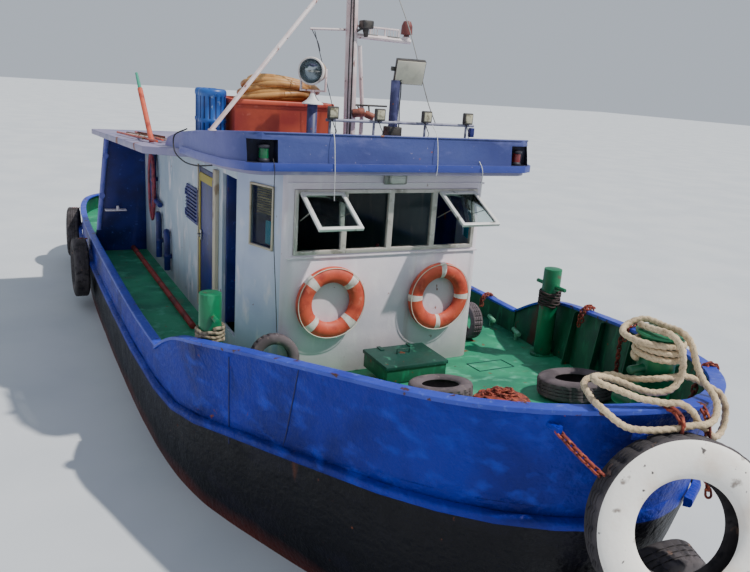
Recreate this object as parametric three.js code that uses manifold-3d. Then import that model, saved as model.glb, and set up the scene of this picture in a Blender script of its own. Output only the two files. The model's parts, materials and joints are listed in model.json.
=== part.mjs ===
// A small steel harbour tug, about 13.8 m long, afloat.
// Frame: +X towards the bow, +Y to port, +Z up, origin on the waterline, on the centreline, amidships.
// All sizes are in millimetres.
import * as THREE from 'three';
import * as BufferGeometryUtils from 'three/addons/utils/BufferGeometryUtils.js';
import Module from 'manifold-3d';

const wasm = await Module();
wasm.setup();

// Driving dimensions
const GAP = 0.4;
const STERN_X = -6800;
const STEM_DECK_X = 6560;
const STEM_RAIL_X = 6680;
const DECK_Z = 900;
const DECK_PLATE = 20;
const SHEER_START_X = 2900;
const SHEER_SLOPE = 0.155;
const KEEL_Z = -1500;
const KEEL_FOOT_Z = -1620;
const BULWARK_PLATE = 40;
const CAP_THICK = 30;
const LOW_RAIL_Z = 1200;
const BOW_STEP_X = 2400;
const BOW_RAIL_X = 2900;

const FRONT_X = 2900;
const FRONT_HALF = 1108;
const HOUSE_HALF = 1350;
const CORNER_X = 2200;
const HOUSE_AFT_X = -2900;
const WALL = 40;
const WALL_TOP_Z = 2950;
const ROOF_THICK = 80;
const ROOF_TOP_Z = WALL_TOP_Z + GAP + ROOF_THICK;
const ROOF_FALL_X = 1790;
const ROOF_FALL = 0.0486;
const SILL_Z = 1110;

const SHAFT_Z = -900;
const PROPELLER_X = -5200;
const RUDDER_X = -5800;

// Paint and material colours
const PAINT = {
  hullBlue: [0x1d3aa6, 0.45, 0.1],
  railBlue: [0x3c52c0, 0.5, 0.1],
  keelBlack: [0x15151c, 0.7, 0.1],
  bulwarkGreen: [0x0c5638, 0.6, 0.1],
  deckGreen: [0x23936a, 0.7, 0.05],
  postGreen: [0x0a7048, 0.5, 0.1],
  houseWhite: [0xc9c4cc, 0.5, 0.05],
  visorBlue: [0x4b5cae, 0.5, 0.1],
  doorBlue: [0x1d2570, 0.45, 0.1],
  aluminium: [0xb4b2a8, 0.4, 0.7],
  glass: [0x3b5560, 0.1, 0.0],
  mastWhite: [0xdedcd8, 0.5, 0.1],
  rust: [0x7c3c26, 0.9, 0.2],
  tyreBlack: [0x2b2a2c, 0.9, 0.0],
  tyreWhite: [0xe2ded2, 0.8, 0.0],
  ringOrange: [0xc85539, 0.6, 0.0],
  tubRed: [0xb04a36, 0.6, 0.0],
  drumBlue: [0x2c66a8, 0.5, 0.0],
  lampGrey: [0x8f9296, 0.4, 0.4],
  lampGreen: [0x1d8a50, 0.3, 0.0],
  lampRed: [0xb03028, 0.3, 0.0],
  rope: [0xdccfb2, 0.9, 0.0],
  bronze: [0xa5854a, 0.35, 0.9],
  console: [0x8d7a5c, 0.6, 0.0],
};

const boat = new THREE.Group();

function paint([color, roughness, metalness]) {
  return new THREE.MeshStandardMaterial({ color, roughness, metalness });
}

function add(name, geometry, finish) {
  const mesh = new THREE.Mesh(geometry, paint(finish));
  mesh.name = name;
  boat.add(mesh);
  return mesh;
}

// Geometry helpers: every helper gives one closed body with its faces outwards
function bare(geometry) {
  const copy = geometry.clone();
  copy.deleteAttribute('normal');
  copy.deleteAttribute('uv');
  return BufferGeometryUtils.mergeVertices(copy, 1e-3);
}

function toSolid(geometry) {
  const merged = bare(geometry);
  const vertProperties = new Float32Array(merged.attributes.position.array);
  const triVerts = new Uint32Array(merged.index.array);
  return new wasm.Manifold(new wasm.Mesh({ numProp: 3, vertProperties, triVerts }));
}

function toGeometry(solid) {
  const { vertProperties, triVerts } = solid.getMesh();
  const geometry = new THREE.BufferGeometry();
  geometry.setAttribute('position', new THREE.BufferAttribute(new Float32Array(vertProperties), 3));
  geometry.setIndex(new THREE.BufferAttribute(new Uint32Array(triVerts), 1));
  return geometry;
}

function join(...geometries) {
  return toGeometry(geometries.map(toSolid).reduce((all, one) => all.add(one)));
}

function cut(geometry, ...tools) {
  return toGeometry(tools.map(toSolid).reduce((rest, tool) => rest.subtract(tool), toSolid(geometry)));
}

function meet(a, b) {
  return toGeometry(toSolid(a).intersect(toSolid(b)));
}

function box(x0, x1, y0, y1, z0, z1) {
  const geometry = new THREE.BoxGeometry(x1 - x0, y1 - y0, z1 - z0);
  return geometry.translate((x0 + x1) / 2, (y0 + y1) / 2, (z0 + z1) / 2);
}

function barBetween(from, to, startRadius, endRadius = startRadius, sides = 12) {
  const a = new THREE.Vector3(...from);
  const b = new THREE.Vector3(...to);
  const geometry = new THREE.CylinderGeometry(endRadius, startRadius, a.distanceTo(b), sides);
  const along = b.clone().sub(a).normalize();
  geometry.applyQuaternion(new THREE.Quaternion().setFromUnitVectors(new THREE.Vector3(0, 1, 0), along));
  return geometry.translate((a.x + b.x) / 2, (a.y + b.y) / 2, (a.z + b.z) / 2);
}

// A lathe about +Z from a closed profile of [radius, z]
function turned(profile, segments = 24) {
  const points = profile.map(([radius, z]) => new THREE.Vector2(radius, z));
  return new THREE.LatheGeometry(points, segments).rotateX(Math.PI / 2);
}

// A plate drawn in XY and raised along Z, with optional holes
function plate(outline, thick, holes = []) {
  const raise = (path, depth) => new THREE.ExtrudeGeometry(
    new THREE.Shape(path.map(([x, y]) => new THREE.Vector2(x, y))), { depth, bevelEnabled: false });
  const sheet = raise(outline, thick);
  if (holes.length === 0) return sheet;
  return cut(sheet, ...holes.map((hole) => raise(hole, thick + 20).translate(0, 0, -10)));
}

// A plate drawn in XZ, thickness along Y from y0 to y0 + thick
function platePitched(outline, y0, thick, holes = []) {
  return plate(outline, thick, holes).rotateX(Math.PI / 2).translate(0, y0 + thick, 0);
}

// A plate drawn in YZ, thickness along X from x0 to x0 + thick
function plateAcross(outline, x0, thick, holes = []) {
  const turn = new THREE.Matrix4().set(0, 0, 1, 0, 1, 0, 0, 0, 0, 1, 0, 0, 0, 0, 0, 1);
  return plate(outline, thick, holes).applyMatrix4(turn).translate(x0, 0, 0);
}

function rect(a0, a1, b0, b1) {
  return [[a0, b0], [a1, b0], [a1, b1], [a0, b1]];
}

// A body through a row of rings with the same number of points, closed by flat ends
function loft(rings) {
  const size = rings[0].length;
  const positions = rings.flat(2);
  const index = [];
  for (let r = 0; r + 1 < rings.length; r += 1) {
    for (let k = 0; k < size; k += 1) {
      const a = r * size + k;
      const b = r * size + ((k + 1) % size);
      index.push(a, b, b + size, a, b + size, a + size);
    }
  }
  for (const [start, flip] of [[0, true], [(rings.length - 1) * size, false]]) {
    const ring = rings[start / size].map((p) => new THREE.Vector3(...p));
    const flat = flatten(ring);
    for (const [a, b, c] of THREE.ShapeUtils.triangulateShape(flat.points, [])) {
      if (flip === flat.turned) index.push(start + a, start + b, start + c);
      else index.push(start + a, start + c, start + b);
    }
  }
  const geometry = new THREE.BufferGeometry();
  geometry.setAttribute('position', new THREE.BufferAttribute(new Float32Array(positions), 3));
  geometry.setIndex(index);
  return facingOut(geometry);
}

// The ring seen square on, in its own plane
function flatten(ring) {
  const normal = new THREE.Vector3();
  for (let k = 0; k < ring.length; k += 1) {
    const next = ring[(k + 1) % ring.length];
    normal.add(ring[k].clone().cross(next));
  }
  normal.normalize();
  const side = Math.abs(normal.z) < 0.9 ? new THREE.Vector3(0, 0, 1) : new THREE.Vector3(1, 0, 0);
  const u = side.cross(normal).normalize();
  const v = normal.clone().cross(u);
  return { points: ring.map((p) => new THREE.Vector2(p.dot(u), p.dot(v))), turned: false };
}

function volumeOf(geometry) {
  const p = geometry.attributes.position;
  const index = geometry.index;
  const [a, b, c] = [new THREE.Vector3(), new THREE.Vector3(), new THREE.Vector3()];
  let total = 0;
  for (let i = 0; i < index.count; i += 3) {
    a.fromBufferAttribute(p, index.getX(i));
    b.fromBufferAttribute(p, index.getX(i + 1));
    c.fromBufferAttribute(p, index.getX(i + 2));
    total += a.dot(b.cross(c));
  }
  return total / 6;
}

function facingOut(geometry) {
  if (volumeOf(geometry) > 0) return geometry;
  const index = Array.from(geometry.index.array);
  for (let i = 0; i < index.length; i += 3) [index[i + 1], index[i + 2]] = [index[i + 2], index[i + 1]];
  geometry.setIndex(index);
  return geometry;
}

// Smooth value between the rows of a table of [x, value]
function between(table, x) {
  const last = table.length - 1;
  if (x <= table[0][0]) return table[0][1];
  if (x >= table[last][0]) return table[last][1];
  const i = table.findIndex(([at]) => at > x) - 1;
  const slope = (k) => {
    const [x0, v0] = table[Math.max(k - 1, 0)];
    const [x1, v1] = table[Math.min(k + 1, last)];
    return (v1 - v0) / (x1 - x0);
  };
  const [x0, v0] = table[i];
  const [x1, v1] = table[i + 1];
  const h = x1 - x0;
  const t = (x - x0) / h;
  const rise = (2 * t ** 3 - 3 * t ** 2 + 1) * v0 + (t ** 3 - 2 * t ** 2 + t) * h * slope(i);
  return rise + (3 * t ** 2 - 2 * t ** 3) * v1 + (t ** 3 - t ** 2) * h * slope(i + 1);
}

// A plan path of [x, y] moved sideways, to the left of its way, by a distance
function offset(path, distance) {
  return path.map((point, k) => {
    const before = path[Math.max(k - 1, 0)];
    const after = path[Math.min(k + 1, path.length - 1)];
    const turn = [point, before, after];
    const first = k > 0 ? unit(turn[1], point) : unit(point, after);
    const second = k < path.length - 1 ? unit(point, after) : first;
    const bisector = [-(first[1] + second[1]), first[0] + second[0]];
    const size = Math.hypot(...bisector);
    const stretch = distance / (size * size / 2 / size);
    return [point[0] + (bisector[0] / size) * stretch, point[1] + (bisector[1] / size) * stretch];
  });
}

function unit(from, to) {
  const d = [to[0] - from[0], to[1] - from[1]];
  const size = Math.hypot(...d);
  return [d[0] / size, d[1] / size];
}

// A path with each inner corner rounded by a short curve
function rounded(path, radius, steps = 4) {
  const points = [path[0]];
  for (let k = 1; k + 1 < path.length; k += 1) {
    const back = unit(path[k], path[k - 1]);
    const on = unit(path[k], path[k + 1]);
    const from = new THREE.Vector2(path[k][0] + back[0] * radius, path[k][1] + back[1] * radius);
    const to = new THREE.Vector2(path[k][0] + on[0] * radius, path[k][1] + on[1] * radius);
    const curve = new THREE.QuadraticBezierCurve(from, new THREE.Vector2(...path[k]), to);
    for (const p of curve.getPoints(steps)) points.push([p.x, p.y]);
  }
  points.push(path[path.length - 1]);
  return points;
}

// An upright wall along a plan path, its thickness to the left of the path
function wall(path, thick, bottomZ, topZ) {
  const inner = offset(path, thick);
  return loft(path.map(([x, y], k) => [
    [x, y, bottomZ], [inner[k][0], inner[k][1], bottomZ],
    [inner[k][0], inner[k][1], topZ], [x, y, topZ],
  ]));
}

// Hull form: [x, value] tables at the deck, the rail and the keel
const DECK_HALF = [
  [-6800, 1700], [-6000, 1990], [-4500, 2170], [-2000, 2230], [1500, 2230], [2400, 2190],
  [3400, 2040], [3900, 1850], [4400, 1670], [4900, 1480], [5400, 1290], [5800, 1080],
  [6100, 860], [6330, 600], [6480, 330], [STEM_DECK_X, 60],
];
const RAIL_HALF = [
  [2400, 2210], [3400, 2090], [3900, 1880], [4400, 1710], [4900, 1520], [5400, 1340],
  [5900, 1090], [6150, 880], [6400, 610], [6560, 360], [6650, 140], [STEM_RAIL_X, 40],
];
const KEEL_RISE = [
  [-6800, 60], [-6000, -60], [-5200, -210], [-4600, -560], [-4000, -1080], [-3400, -1400],
  [-2600, KEEL_Z], [3800, KEEL_Z], [4600, -1430], [5200, -1180], [5700, -700], [6050, -60],
  [6330, 620], [STEM_DECK_X, 1380],
];
const BOW_RAIL = [
  [2900, 1500], [3400, 1600], [3900, 1690], [4900, 1850], [5900, 2000], [6300, 2070], [STEM_RAIL_X, 2160],
];
const HULL_STATIONS = [
  -6800, -6400, -6000, -5600, -5200, -4900, -4600, -4300, -4000, -3400, -2600, -1300, 0, 1300, 2400, 2900,
  3400, 3900, 4400, 4900, 5400, 5800, 6100, 6330, 6480, STEM_DECK_X,
];
const SECTION_STEPS = 9;

function deckZ(x) {
  return DECK_Z + Math.max(0, x - SHEER_START_X) * SHEER_SLOPE;
}

// A hull section is half a superellipse: boxy amidships, finer towards the stem
const FULLNESS = [
  [-6800, 3.2], [-4600, 3.0], [0, 4.2], [3400, 3.0], [4900, 2.2], [6100, 1.8], [STEM_DECK_X, 1.7],
];

function hullSection(x) {
  const top = deckZ(x) - DECK_PLATE - GAP;
  const low = Math.min(between(KEEL_RISE, x), top - 60);
  const half = between(DECK_HALF, x);
  const power = 2 / between(FULLNESS, x);
  const port = [];
  for (let k = 0; k <= SECTION_STEPS; k += 1) {
    const angle = (k / SECTION_STEPS) * Math.PI / 2;
    port.push([x, half * Math.cos(angle) ** power, top - (top - low) * Math.sin(angle) ** power]);
  }
  const starboard = port.slice(0, -1).reverse().map(([, y, z]) => [x, -y, z]);
  return [...port.map(([px, y, z], k) => [px, k === SECTION_STEPS ? 0 : y, z]), ...starboard];
}

// Solid hull, decked over, with a trunk for the rudder stock
const STOCK_RADIUS = 40;
const RUDDER_CLEARANCE = 6;
const stockTrunk = barBetween([RUDDER_X, 0, -400], [RUDDER_X, 0, 260], STOCK_RADIUS + RUDDER_CLEARANCE);
add('hull', cut(loft(HULL_STATIONS.map(hullSection)), stockTrunk), PAINT.hullBlue);

// Keel bar, skeg, stern tube and the heel that carries the rudder
const KEEL_HALF_THICK = 55;
const SKEG_AFT_X = -4900;
const HEEL_Z = KEEL_FOOT_Z + 90;
const KEEL_FORE_X = 5400;
const keelTop = HULL_STATIONS.filter((x) => x >= SKEG_AFT_X && x <= KEEL_FORE_X)
  .map((x) => [x, between(KEEL_RISE, x) - 2]);
const keelOutline = [
  [SKEG_AFT_X, KEEL_FOOT_Z], [3900, KEEL_FOOT_Z], [4700, KEEL_FOOT_Z + 90],
  [KEEL_FORE_X, between(KEEL_RISE, KEEL_FORE_X) - 130],
  ...keelTop.reverse(),
];
const heel = box(RUDDER_X - 120, SKEG_AFT_X + 200, -60, 60, KEEL_FOOT_Z, HEEL_Z);
const boss = barBetween([SKEG_AFT_X - 150, 0, SHAFT_Z], [SKEG_AFT_X + 350, 0, SHAFT_Z], 95, 110, 16);
const keelBody = join(platePitched(keelOutline, -KEEL_HALF_THICK, 2 * KEEL_HALF_THICK), heel, boss);
const SHAFT_RADIUS = 36;
const shaftBore = barBetween([SKEG_AFT_X - 200, 0, SHAFT_Z], [SKEG_AFT_X, 0, SHAFT_Z], SHAFT_RADIUS + 5);
const pintleBore = barBetween([RUDDER_X, 0, HEEL_Z - 60], [RUDDER_X, 0, HEEL_Z + 50], 31);
add('keel_skeg', cut(keelBody, shaftBore, pintleBore), PAINT.keelBlack);

// Four-bladed propeller on its tail shaft
const PROPELLER_RADIUS = 520;
const HUB_RADIUS = 90;
function propeller() {
  const hub = barBetween(
    [PROPELLER_X - 130, 0, SHAFT_Z], [PROPELLER_X + 130, 0, SHAFT_Z], 60, HUB_RADIUS, 16);
  const tail = barBetween([PROPELLER_X + 100, 0, SHAFT_Z], [SKEG_AFT_X - 60, 0, SHAFT_Z], SHAFT_RADIUS);
  const outline = new THREE.Shape();
  outline.moveTo(-70, 0);
  outline.quadraticCurveTo(-230, 280, -60, PROPELLER_RADIUS - 20);
  outline.quadraticCurveTo(40, PROPELLER_RADIUS + 20, 110, PROPELLER_RADIUS - 70);
  outline.quadraticCurveTo(250, 220, 70, 0);
  const blades = [0, 1, 2, 3].map((k) => {
    const blade = new THREE.ExtrudeGeometry(outline, { depth: 26, bevelEnabled: false, curveSegments: 5 });
    blade.translate(0, 40, -13);
    blade.rotateY(Math.PI / 2);
    blade.rotateY(0.62);
    blade.rotateX((k * Math.PI) / 2);
    return blade.translate(PROPELLER_X, 0, SHAFT_Z);
  });
  return join(hub, tail, ...blades);
}
add('propeller', propeller(), PAINT.bronze);

// Balanced plate rudder on its stock and pintle
const RUDDER_TOP_Z = -330;
const RUDDER_FOOT_Z = HEEL_Z + 15;
function rudder() {
  const blade = platePitched([
    [RUDDER_X + 190, RUDDER_FOOT_Z + 60], [RUDDER_X + 190, RUDDER_TOP_Z - 60], [RUDDER_X + 120, RUDDER_TOP_Z],
    [RUDDER_X - 680, RUDDER_TOP_Z], [RUDDER_X - 760, RUDDER_TOP_Z - 80], [RUDDER_X - 620, RUDDER_FOOT_Z],
    [RUDDER_X + 130, RUDDER_FOOT_Z],
  ], -35, 70);
  const stock = barBetween([RUDDER_X, 0, RUDDER_TOP_Z - 300], [RUDDER_X, 0, 200], STOCK_RADIUS);
  const pintle = barBetween([RUDDER_X, 0, HEEL_Z - 40], [RUDDER_X, 0, RUDDER_FOOT_Z + 40], 25);
  return join(blade, stock, pintle);
}
add('rudder', rudder(), PAINT.keelBlack);

// Bow bulwark: high plate from one shoulder round the stem to the other, with stiffeners inside
const BOW_STEPS = [0, 500, 1000, 1500, 2000, 2500, 3000, 3400, 3700, 3930, 4080, 4160];
const bowDeckX = (run) => BOW_STEP_X + run;
const bowRailX = (run) => BOW_STEP_X + (run * (STEM_RAIL_X - BOW_STEP_X)) / (STEM_DECK_X - BOW_STEP_X);

function bowPath(xOf, table) {
  const starboard = BOW_STEPS.map((run) => [xOf(run), -between(table, xOf(run))]);
  const port = starboard.map(([x, y]) => [x, -y]).reverse();
  return [...starboard, ...port];
}

function bowRailZ(x) {
  const rise = (x - BOW_STEP_X) / (BOW_RAIL_X - BOW_STEP_X);
  return rise < 1 ? LOW_RAIL_Z + rise * (BOW_RAIL[0][1] - LOW_RAIL_Z) : between(BOW_RAIL, x);
}

function bowWall(outFoot, inFoot, outTop, inTop, footZ, topZ) {
  const foot = bowPath(bowDeckX, DECK_HALF);
  const head = bowPath(bowRailX, RAIL_HALF);
  const rings = foot.map((_, k) => {
    const fo = offset(foot, outFoot)[k];
    const fi = offset(foot, inFoot)[k];
    const ho = offset(head, outTop)[k];
    const hi = offset(head, inTop)[k];
    const low = footZ(foot[k][0], head[k][0]);
    const high = topZ(foot[k][0], head[k][0]);
    return [[...fo, low], [...fi, low], [...hi, high], [...ho, high]];
  });
  return loft(rings);
}

const hullTopZ = (x) => deckZ(x) - DECK_PLATE;
const bowShell = bowWall(0, BULWARK_PLATE, 0, BULWARK_PLATE, hullTopZ, (_, x) => bowRailZ(x) - CAP_THICK);
const STIFFENER_RUNS = [700, 1300, 1900, 2500, 3100];
const STIFFENER_DEPTH = 130;
function stiffener(run, side) {
  const x = bowDeckX(run);
  const y = between(DECK_HALF, x) - 20;
  const high = bowRailZ(x) - CAP_THICK - 20;
  const lean = between(RAIL_HALF, bowRailX(run)) - y - 30;
  const slope = (between(DECK_HALF, x + 50) - between(DECK_HALF, x - 50)) / 100;
  const ring = (dx) => {
    const dy = slope * dx;
    const low = deckZ(x + dx) + 1;
    return [
      [x + dx, side * (y + dy), low], [x + dx, side * (y + dy - STIFFENER_DEPTH), low],
      [x + dx, side * (y + dy + lean - 60), high], [x + dx, side * (y + dy + lean), high],
    ];
  };
  return loft([ring(-8), ring(8)]);
}
const stiffeners = STIFFENER_RUNS.flatMap((run) => [stiffener(run, 1), stiffener(run, -1)]);

// Flat cap rail on the bow bulwark
const CAP_OUT = -22;
const CAP_IN = 78;
function bowCap(lower, raise) {
  const head = bowPath(bowRailX, RAIL_HALF);
  const out = offset(head, CAP_OUT);
  const inside = offset(head, CAP_IN);
  return loft(head.map(([x], k) => {
    const low = bowRailZ(x) - CAP_THICK - lower;
    const high = bowRailZ(x) + raise;
    return [[...out[k], low], [...inside[k], low], [...inside[k], high], [...out[k], high]];
  }));
}
add('bow_bulwark', cut(join(bowShell, ...stiffeners), bowCap(GAP, 60)), PAINT.hullBlue);
add('bow_cap_rail', bowCap(0, 0), PAINT.railBlue);

// Low bulwark along both sides and round the stern, with its cap rail
const AFT_STATIONS = [BOW_STEP_X - 6, 1500, 0, -2000, -3300, -4500, -5300, -6000, -6400];
const sternCorner = [[-6700, 1650], [STERN_X + 30, 1480]];
const portRun = [...AFT_STATIONS.map((x) => [x, between(DECK_HALF, x)]), ...sternCorner];
const aftPath = [...portRun, ...portRun.map(([x, y]) => [x, -y]).reverse()];
function aftBand(outDistance, inDistance, lowZ, highZ) {
  const out = offset(aftPath, outDistance);
  const inside = offset(aftPath, inDistance);
  return loft(aftPath.map((_, k) => [
    [...out[k], lowZ], [...inside[k], lowZ], [...inside[k], highZ], [...out[k], highZ],
  ]));
}
add('aft_bulwark', aftBand(0, BULWARK_PLATE, DECK_Z - DECK_PLATE, LOW_RAIL_Z - CAP_THICK), PAINT.hullBlue);
add('aft_cap_rail', aftBand(CAP_OUT, CAP_IN, LOW_RAIL_Z - CAP_THICK + GAP, LOW_RAIL_Z), PAINT.railBlue);

// Deck in two flat plates that meet where the sheer starts, fitted inside the bulwarks
const DECK_MARGIN = BULWARK_PLATE + 2;
const DECK_FORE_X = 6430;
const deckRing = (x) => {
  const y = between(DECK_HALF, x) - DECK_MARGIN;
  const z = deckZ(x);
  return [[x, y, z - DECK_PLATE], [x, y, z], [x, -y, z], [x, -y, z - DECK_PLATE]];
};
function deckPart(fromX, toX) {
  const stations = HULL_STATIONS.filter((x) => x > fromX + 1 && x < toX - 1);
  return cut(
    loft([fromX, ...stations, toX].map(deckRing)),
    aftBand(-400, DECK_MARGIN, DECK_Z - 200, DECK_Z + 200),
    bowWall(-400, DECK_MARGIN + 12, -400, DECK_MARGIN + 12, (x) => deckZ(x) - 80, (x) => deckZ(x) + 300),
  );
}
add('deck_plate', deckPart(STERN_X + DECK_MARGIN, SHEER_START_X - GAP), PAINT.deckGreen);
add('foredeck_plate', deckPart(SHEER_START_X, DECK_FORE_X), PAINT.deckGreen);

// House front: one sheet bent round both corners, with the window band and two corner windows cut
const SILL_OF_WINDOWS_Z = DECK_Z + 1257;
const HEAD_OF_WINDOWS_Z = DECK_Z + 1903;
const WINDOW_HALF = 1032;
const CORNER_BEND = 110;
const cornerRun = [CORNER_X, HOUSE_HALF];
const SIDE_FORE_X = CORNER_X - 30;
const frontPath = [[SIDE_FORE_X, -HOUSE_HALF], ...rounded([
  [CORNER_X, -HOUSE_HALF], [FRONT_X, -FRONT_HALF], [FRONT_X, FRONT_HALF], [CORNER_X, HOUSE_HALF],
], CORNER_BEND), [SIDE_FORE_X, HOUSE_HALF]];
const CORNER_ANGLE = Math.atan2(HOUSE_HALF - FRONT_HALF, FRONT_X - CORNER_X);
const CORNER_LENGTH = Math.hypot(HOUSE_HALF - FRONT_HALF, FRONT_X - CORNER_X);
const CORNER_WINDOW = { from: 200, to: 540, low: DECK_Z + 1290, high: DECK_Z + 1880 };

// A block lying along a corner panel, s measured from its aft end, d outwards
function cornerBlock(side, s0, s1, d0, d1, z0, z1) {
  const block = box(s0, s1, side > 0 ? d0 : -d1, side > 0 ? d1 : -d0, z0, z1);
  return block.rotateZ(-side * CORNER_ANGLE).translate(cornerRun[0], side * cornerRun[1], 0);
}
const bandHalf = WINDOW_HALF - 8;
const windowBand = box(
  FRONT_X - 200, FRONT_X + 200, -bandHalf, bandHalf, SILL_OF_WINDOWS_Z + 8, HEAD_OF_WINDOWS_Z - 8);
const cornerCut = (side) => cornerBlock(
  side, CORNER_WINDOW.from, CORNER_WINDOW.to, -200, 200, CORNER_WINDOW.low, CORNER_WINDOW.high);
const frontSheet = wall(frontPath, WALL, DECK_Z + GAP, WALL_TOP_Z);
add('house_front', cut(frontSheet, windowBand, cornerCut(1), cornerCut(-1)), PAINT.houseWhite);

// House sides, with the doorways cut
const DOORWAYS = {
  fore: { x0: 1640, x1: 2150, low: SILL_Z, high: DECK_Z + 1880 },
  aft: { x0: 640, x1: 1340, low: SILL_Z, high: DECK_Z + 1820 },
};
const doorHole = ({ x0, x1, low, high }) => rect(x0, x1, low, high).reverse();
const wallTopZ = (x) => WALL_TOP_Z - Math.max(0, ROOF_FALL_X - x) * ROOF_FALL;
const sideOutline = [
  [HOUSE_AFT_X, DECK_Z + GAP], [SIDE_FORE_X - GAP, DECK_Z + GAP], [SIDE_FORE_X - GAP, WALL_TOP_Z],
  [ROOF_FALL_X, WALL_TOP_Z], [HOUSE_AFT_X, wallTopZ(HOUSE_AFT_X)],
];
const sideWall = (side, holes) => platePitched(
  sideOutline, side > 0 ? HOUSE_HALF - WALL : -HOUSE_HALF, WALL, holes);
add('house_side_stbd', sideWall(-1, [doorHole(DOORWAYS.fore), doorHole(DOORWAYS.aft)]), PAINT.houseWhite);
add('house_side_port', sideWall(1, [doorHole(DOORWAYS.fore)]), PAINT.houseWhite);

// House aft wall with its doorway
const AFT_DOOR = { y0: -900, y1: -250, low: SILL_Z, high: DECK_Z + 1730 };
const aftHalf = HOUSE_HALF - WALL - GAP;
add('house_aft', plateAcross(
  rect(-aftHalf, aftHalf, DECK_Z + GAP, wallTopZ(HOUSE_AFT_X)), HOUSE_AFT_X, WALL,
  [rect(AFT_DOOR.y0, AFT_DOOR.y1, AFT_DOOR.low, AFT_DOOR.high).reverse()],
), PAINT.houseWhite);

// Doors: each leaf is a little smaller than its doorway and hinged on a vertical edge
const LEAF = 38;
const DOOR_GAP = 7;
function sideLeaf({ x0, x1, low, high }, side) {
  const y0 = side > 0 ? HOUSE_HALF - LEAF - 1 : -HOUSE_HALF + 1;
  return box(x0 + DOOR_GAP, x1 - DOOR_GAP, y0, y0 + LEAF, low + DOOR_GAP, high - DOOR_GAP);
}
// The forward starboard leaf stands open, swung in at right angles to the wall
const foreDoor = DOORWAYS.fore;
const foreLeafWidth = foreDoor.x1 - foreDoor.x0 - 2 * DOOR_GAP;
const foreLeafY = -HOUSE_HALF + 1 + LEAF;
add('door_fore_stbd', box(
  foreDoor.x0 + DOOR_GAP, foreDoor.x0 + DOOR_GAP + LEAF,
  foreLeafY, foreLeafY + foreLeafWidth, foreDoor.low + DOOR_GAP, foreDoor.high - DOOR_GAP,
), PAINT.doorBlue);
add('door_aft_stbd', sideLeaf(DOORWAYS.aft, -1), PAINT.doorBlue);
add('door_port', sideLeaf(DOORWAYS.fore, 1), PAINT.doorBlue);
add('door_aft', box(
  HOUSE_AFT_X + 1, HOUSE_AFT_X + 1 + LEAF, AFT_DOOR.y0 + DOOR_GAP, AFT_DOOR.y1 - DOOR_GAP,
  AFT_DOOR.low + DOOR_GAP, AFT_DOOR.high - DOOR_GAP,
), PAINT.doorBlue);

// Roof slab: level and narrow over the wheelhouse, full beam over the side decks and falling aft
const ROOF_AFT_X = -3400;
const roofTopZ = (x) => wallTopZ(x) + GAP + ROOF_THICK;
const ROOF_PLAN = [
  [ROOF_AFT_X, 2080], [1350, 2120], [1740, 1850], [ROOF_FALL_X, 1760],
  [2361, 1700], [2800, 1615], [3020, 1500], [3077, 1400],
];
add('roof_slab', loft(ROOF_PLAN.map(([x, half]) => [
  [x, half, roofTopZ(x) - ROOF_THICK], [x, half, roofTopZ(x)],
  [x, -half, roofTopZ(x)], [x, -half, roofTopZ(x) - ROOF_THICK],
])), PAINT.visorBlue);

// Visor: raised blue band round the front of the roof, leaning in, lower towards its aft ends.
// A thick lip runs along its foot, and it is cut back at both corners for the side lights.
const VISOR_LIP_LOW_Z = DECK_Z + 2092;
const VISOR_LIP_TOP_Z = VISOR_LIP_LOW_Z + 70;
const VISOR_TOP_Z = DECK_Z + 2420;
const VISOR_FRONT_X = FRONT_X + 238;
const VISOR_THICK = 60;
const VISOR_LEAN = 35;
const visorHalf = [
  [1120, 1870], [1450, 1858], [1800, 1838], [2361, 1778], [2800, 1690], [3060, 1560], [VISOR_FRONT_X, 1430],
];
const VISOR_TOP = [
  [1120, 3085], [1330, 3132], [1621, 3179], [2093, 3232], [2676, 3284], [3060, 3316],
  [VISOR_FRONT_X, VISOR_TOP_Z],
];
const mirrored = (half) => [...half.map(([x, y]) => [x, -y]), ...[...half].reverse()];
const visorOut = mirrored(visorHalf);
function band(path, footOut, footIn, topOut, topIn, lowZ, highZ) {
  const [fo, fi, to, ti] = [footOut, footIn, topOut, topIn].map((d) => offset(path, d));
  return loft(path.map(([x], k) => [
    [...fo[k], lowZ(x)], [...fi[k], lowZ(x)], [...ti[k], highZ(x)], [...to[k], highZ(x)],
  ]));
}
const visorFootZ = (x) => (x > 1900 ? VISOR_LIP_LOW_Z : roofTopZ(x) - 20);
const roofShadow = loft(ROOF_PLAN.map(([x, half]) => [
  [x, half + GAP, 2000], [x, half + GAP, roofTopZ(x) + GAP],
  [x, -half - GAP, roofTopZ(x) + GAP], [x, -half - GAP, 2000],
]));
const visorTopZ = (x) => between(VISOR_TOP, x);
const visorFace = band(
  visorOut, 25, VISOR_THICK, 25 + VISOR_LEAN, VISOR_THICK + VISOR_LEAN, visorFootZ, visorTopZ);
const lipPath = mirrored(visorHalf.slice(2));
const visorLip = band(lipPath, 0, VISOR_THICK, 0, VISOR_THICK, () => VISOR_LIP_LOW_Z, () => VISOR_LIP_TOP_Z);

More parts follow.
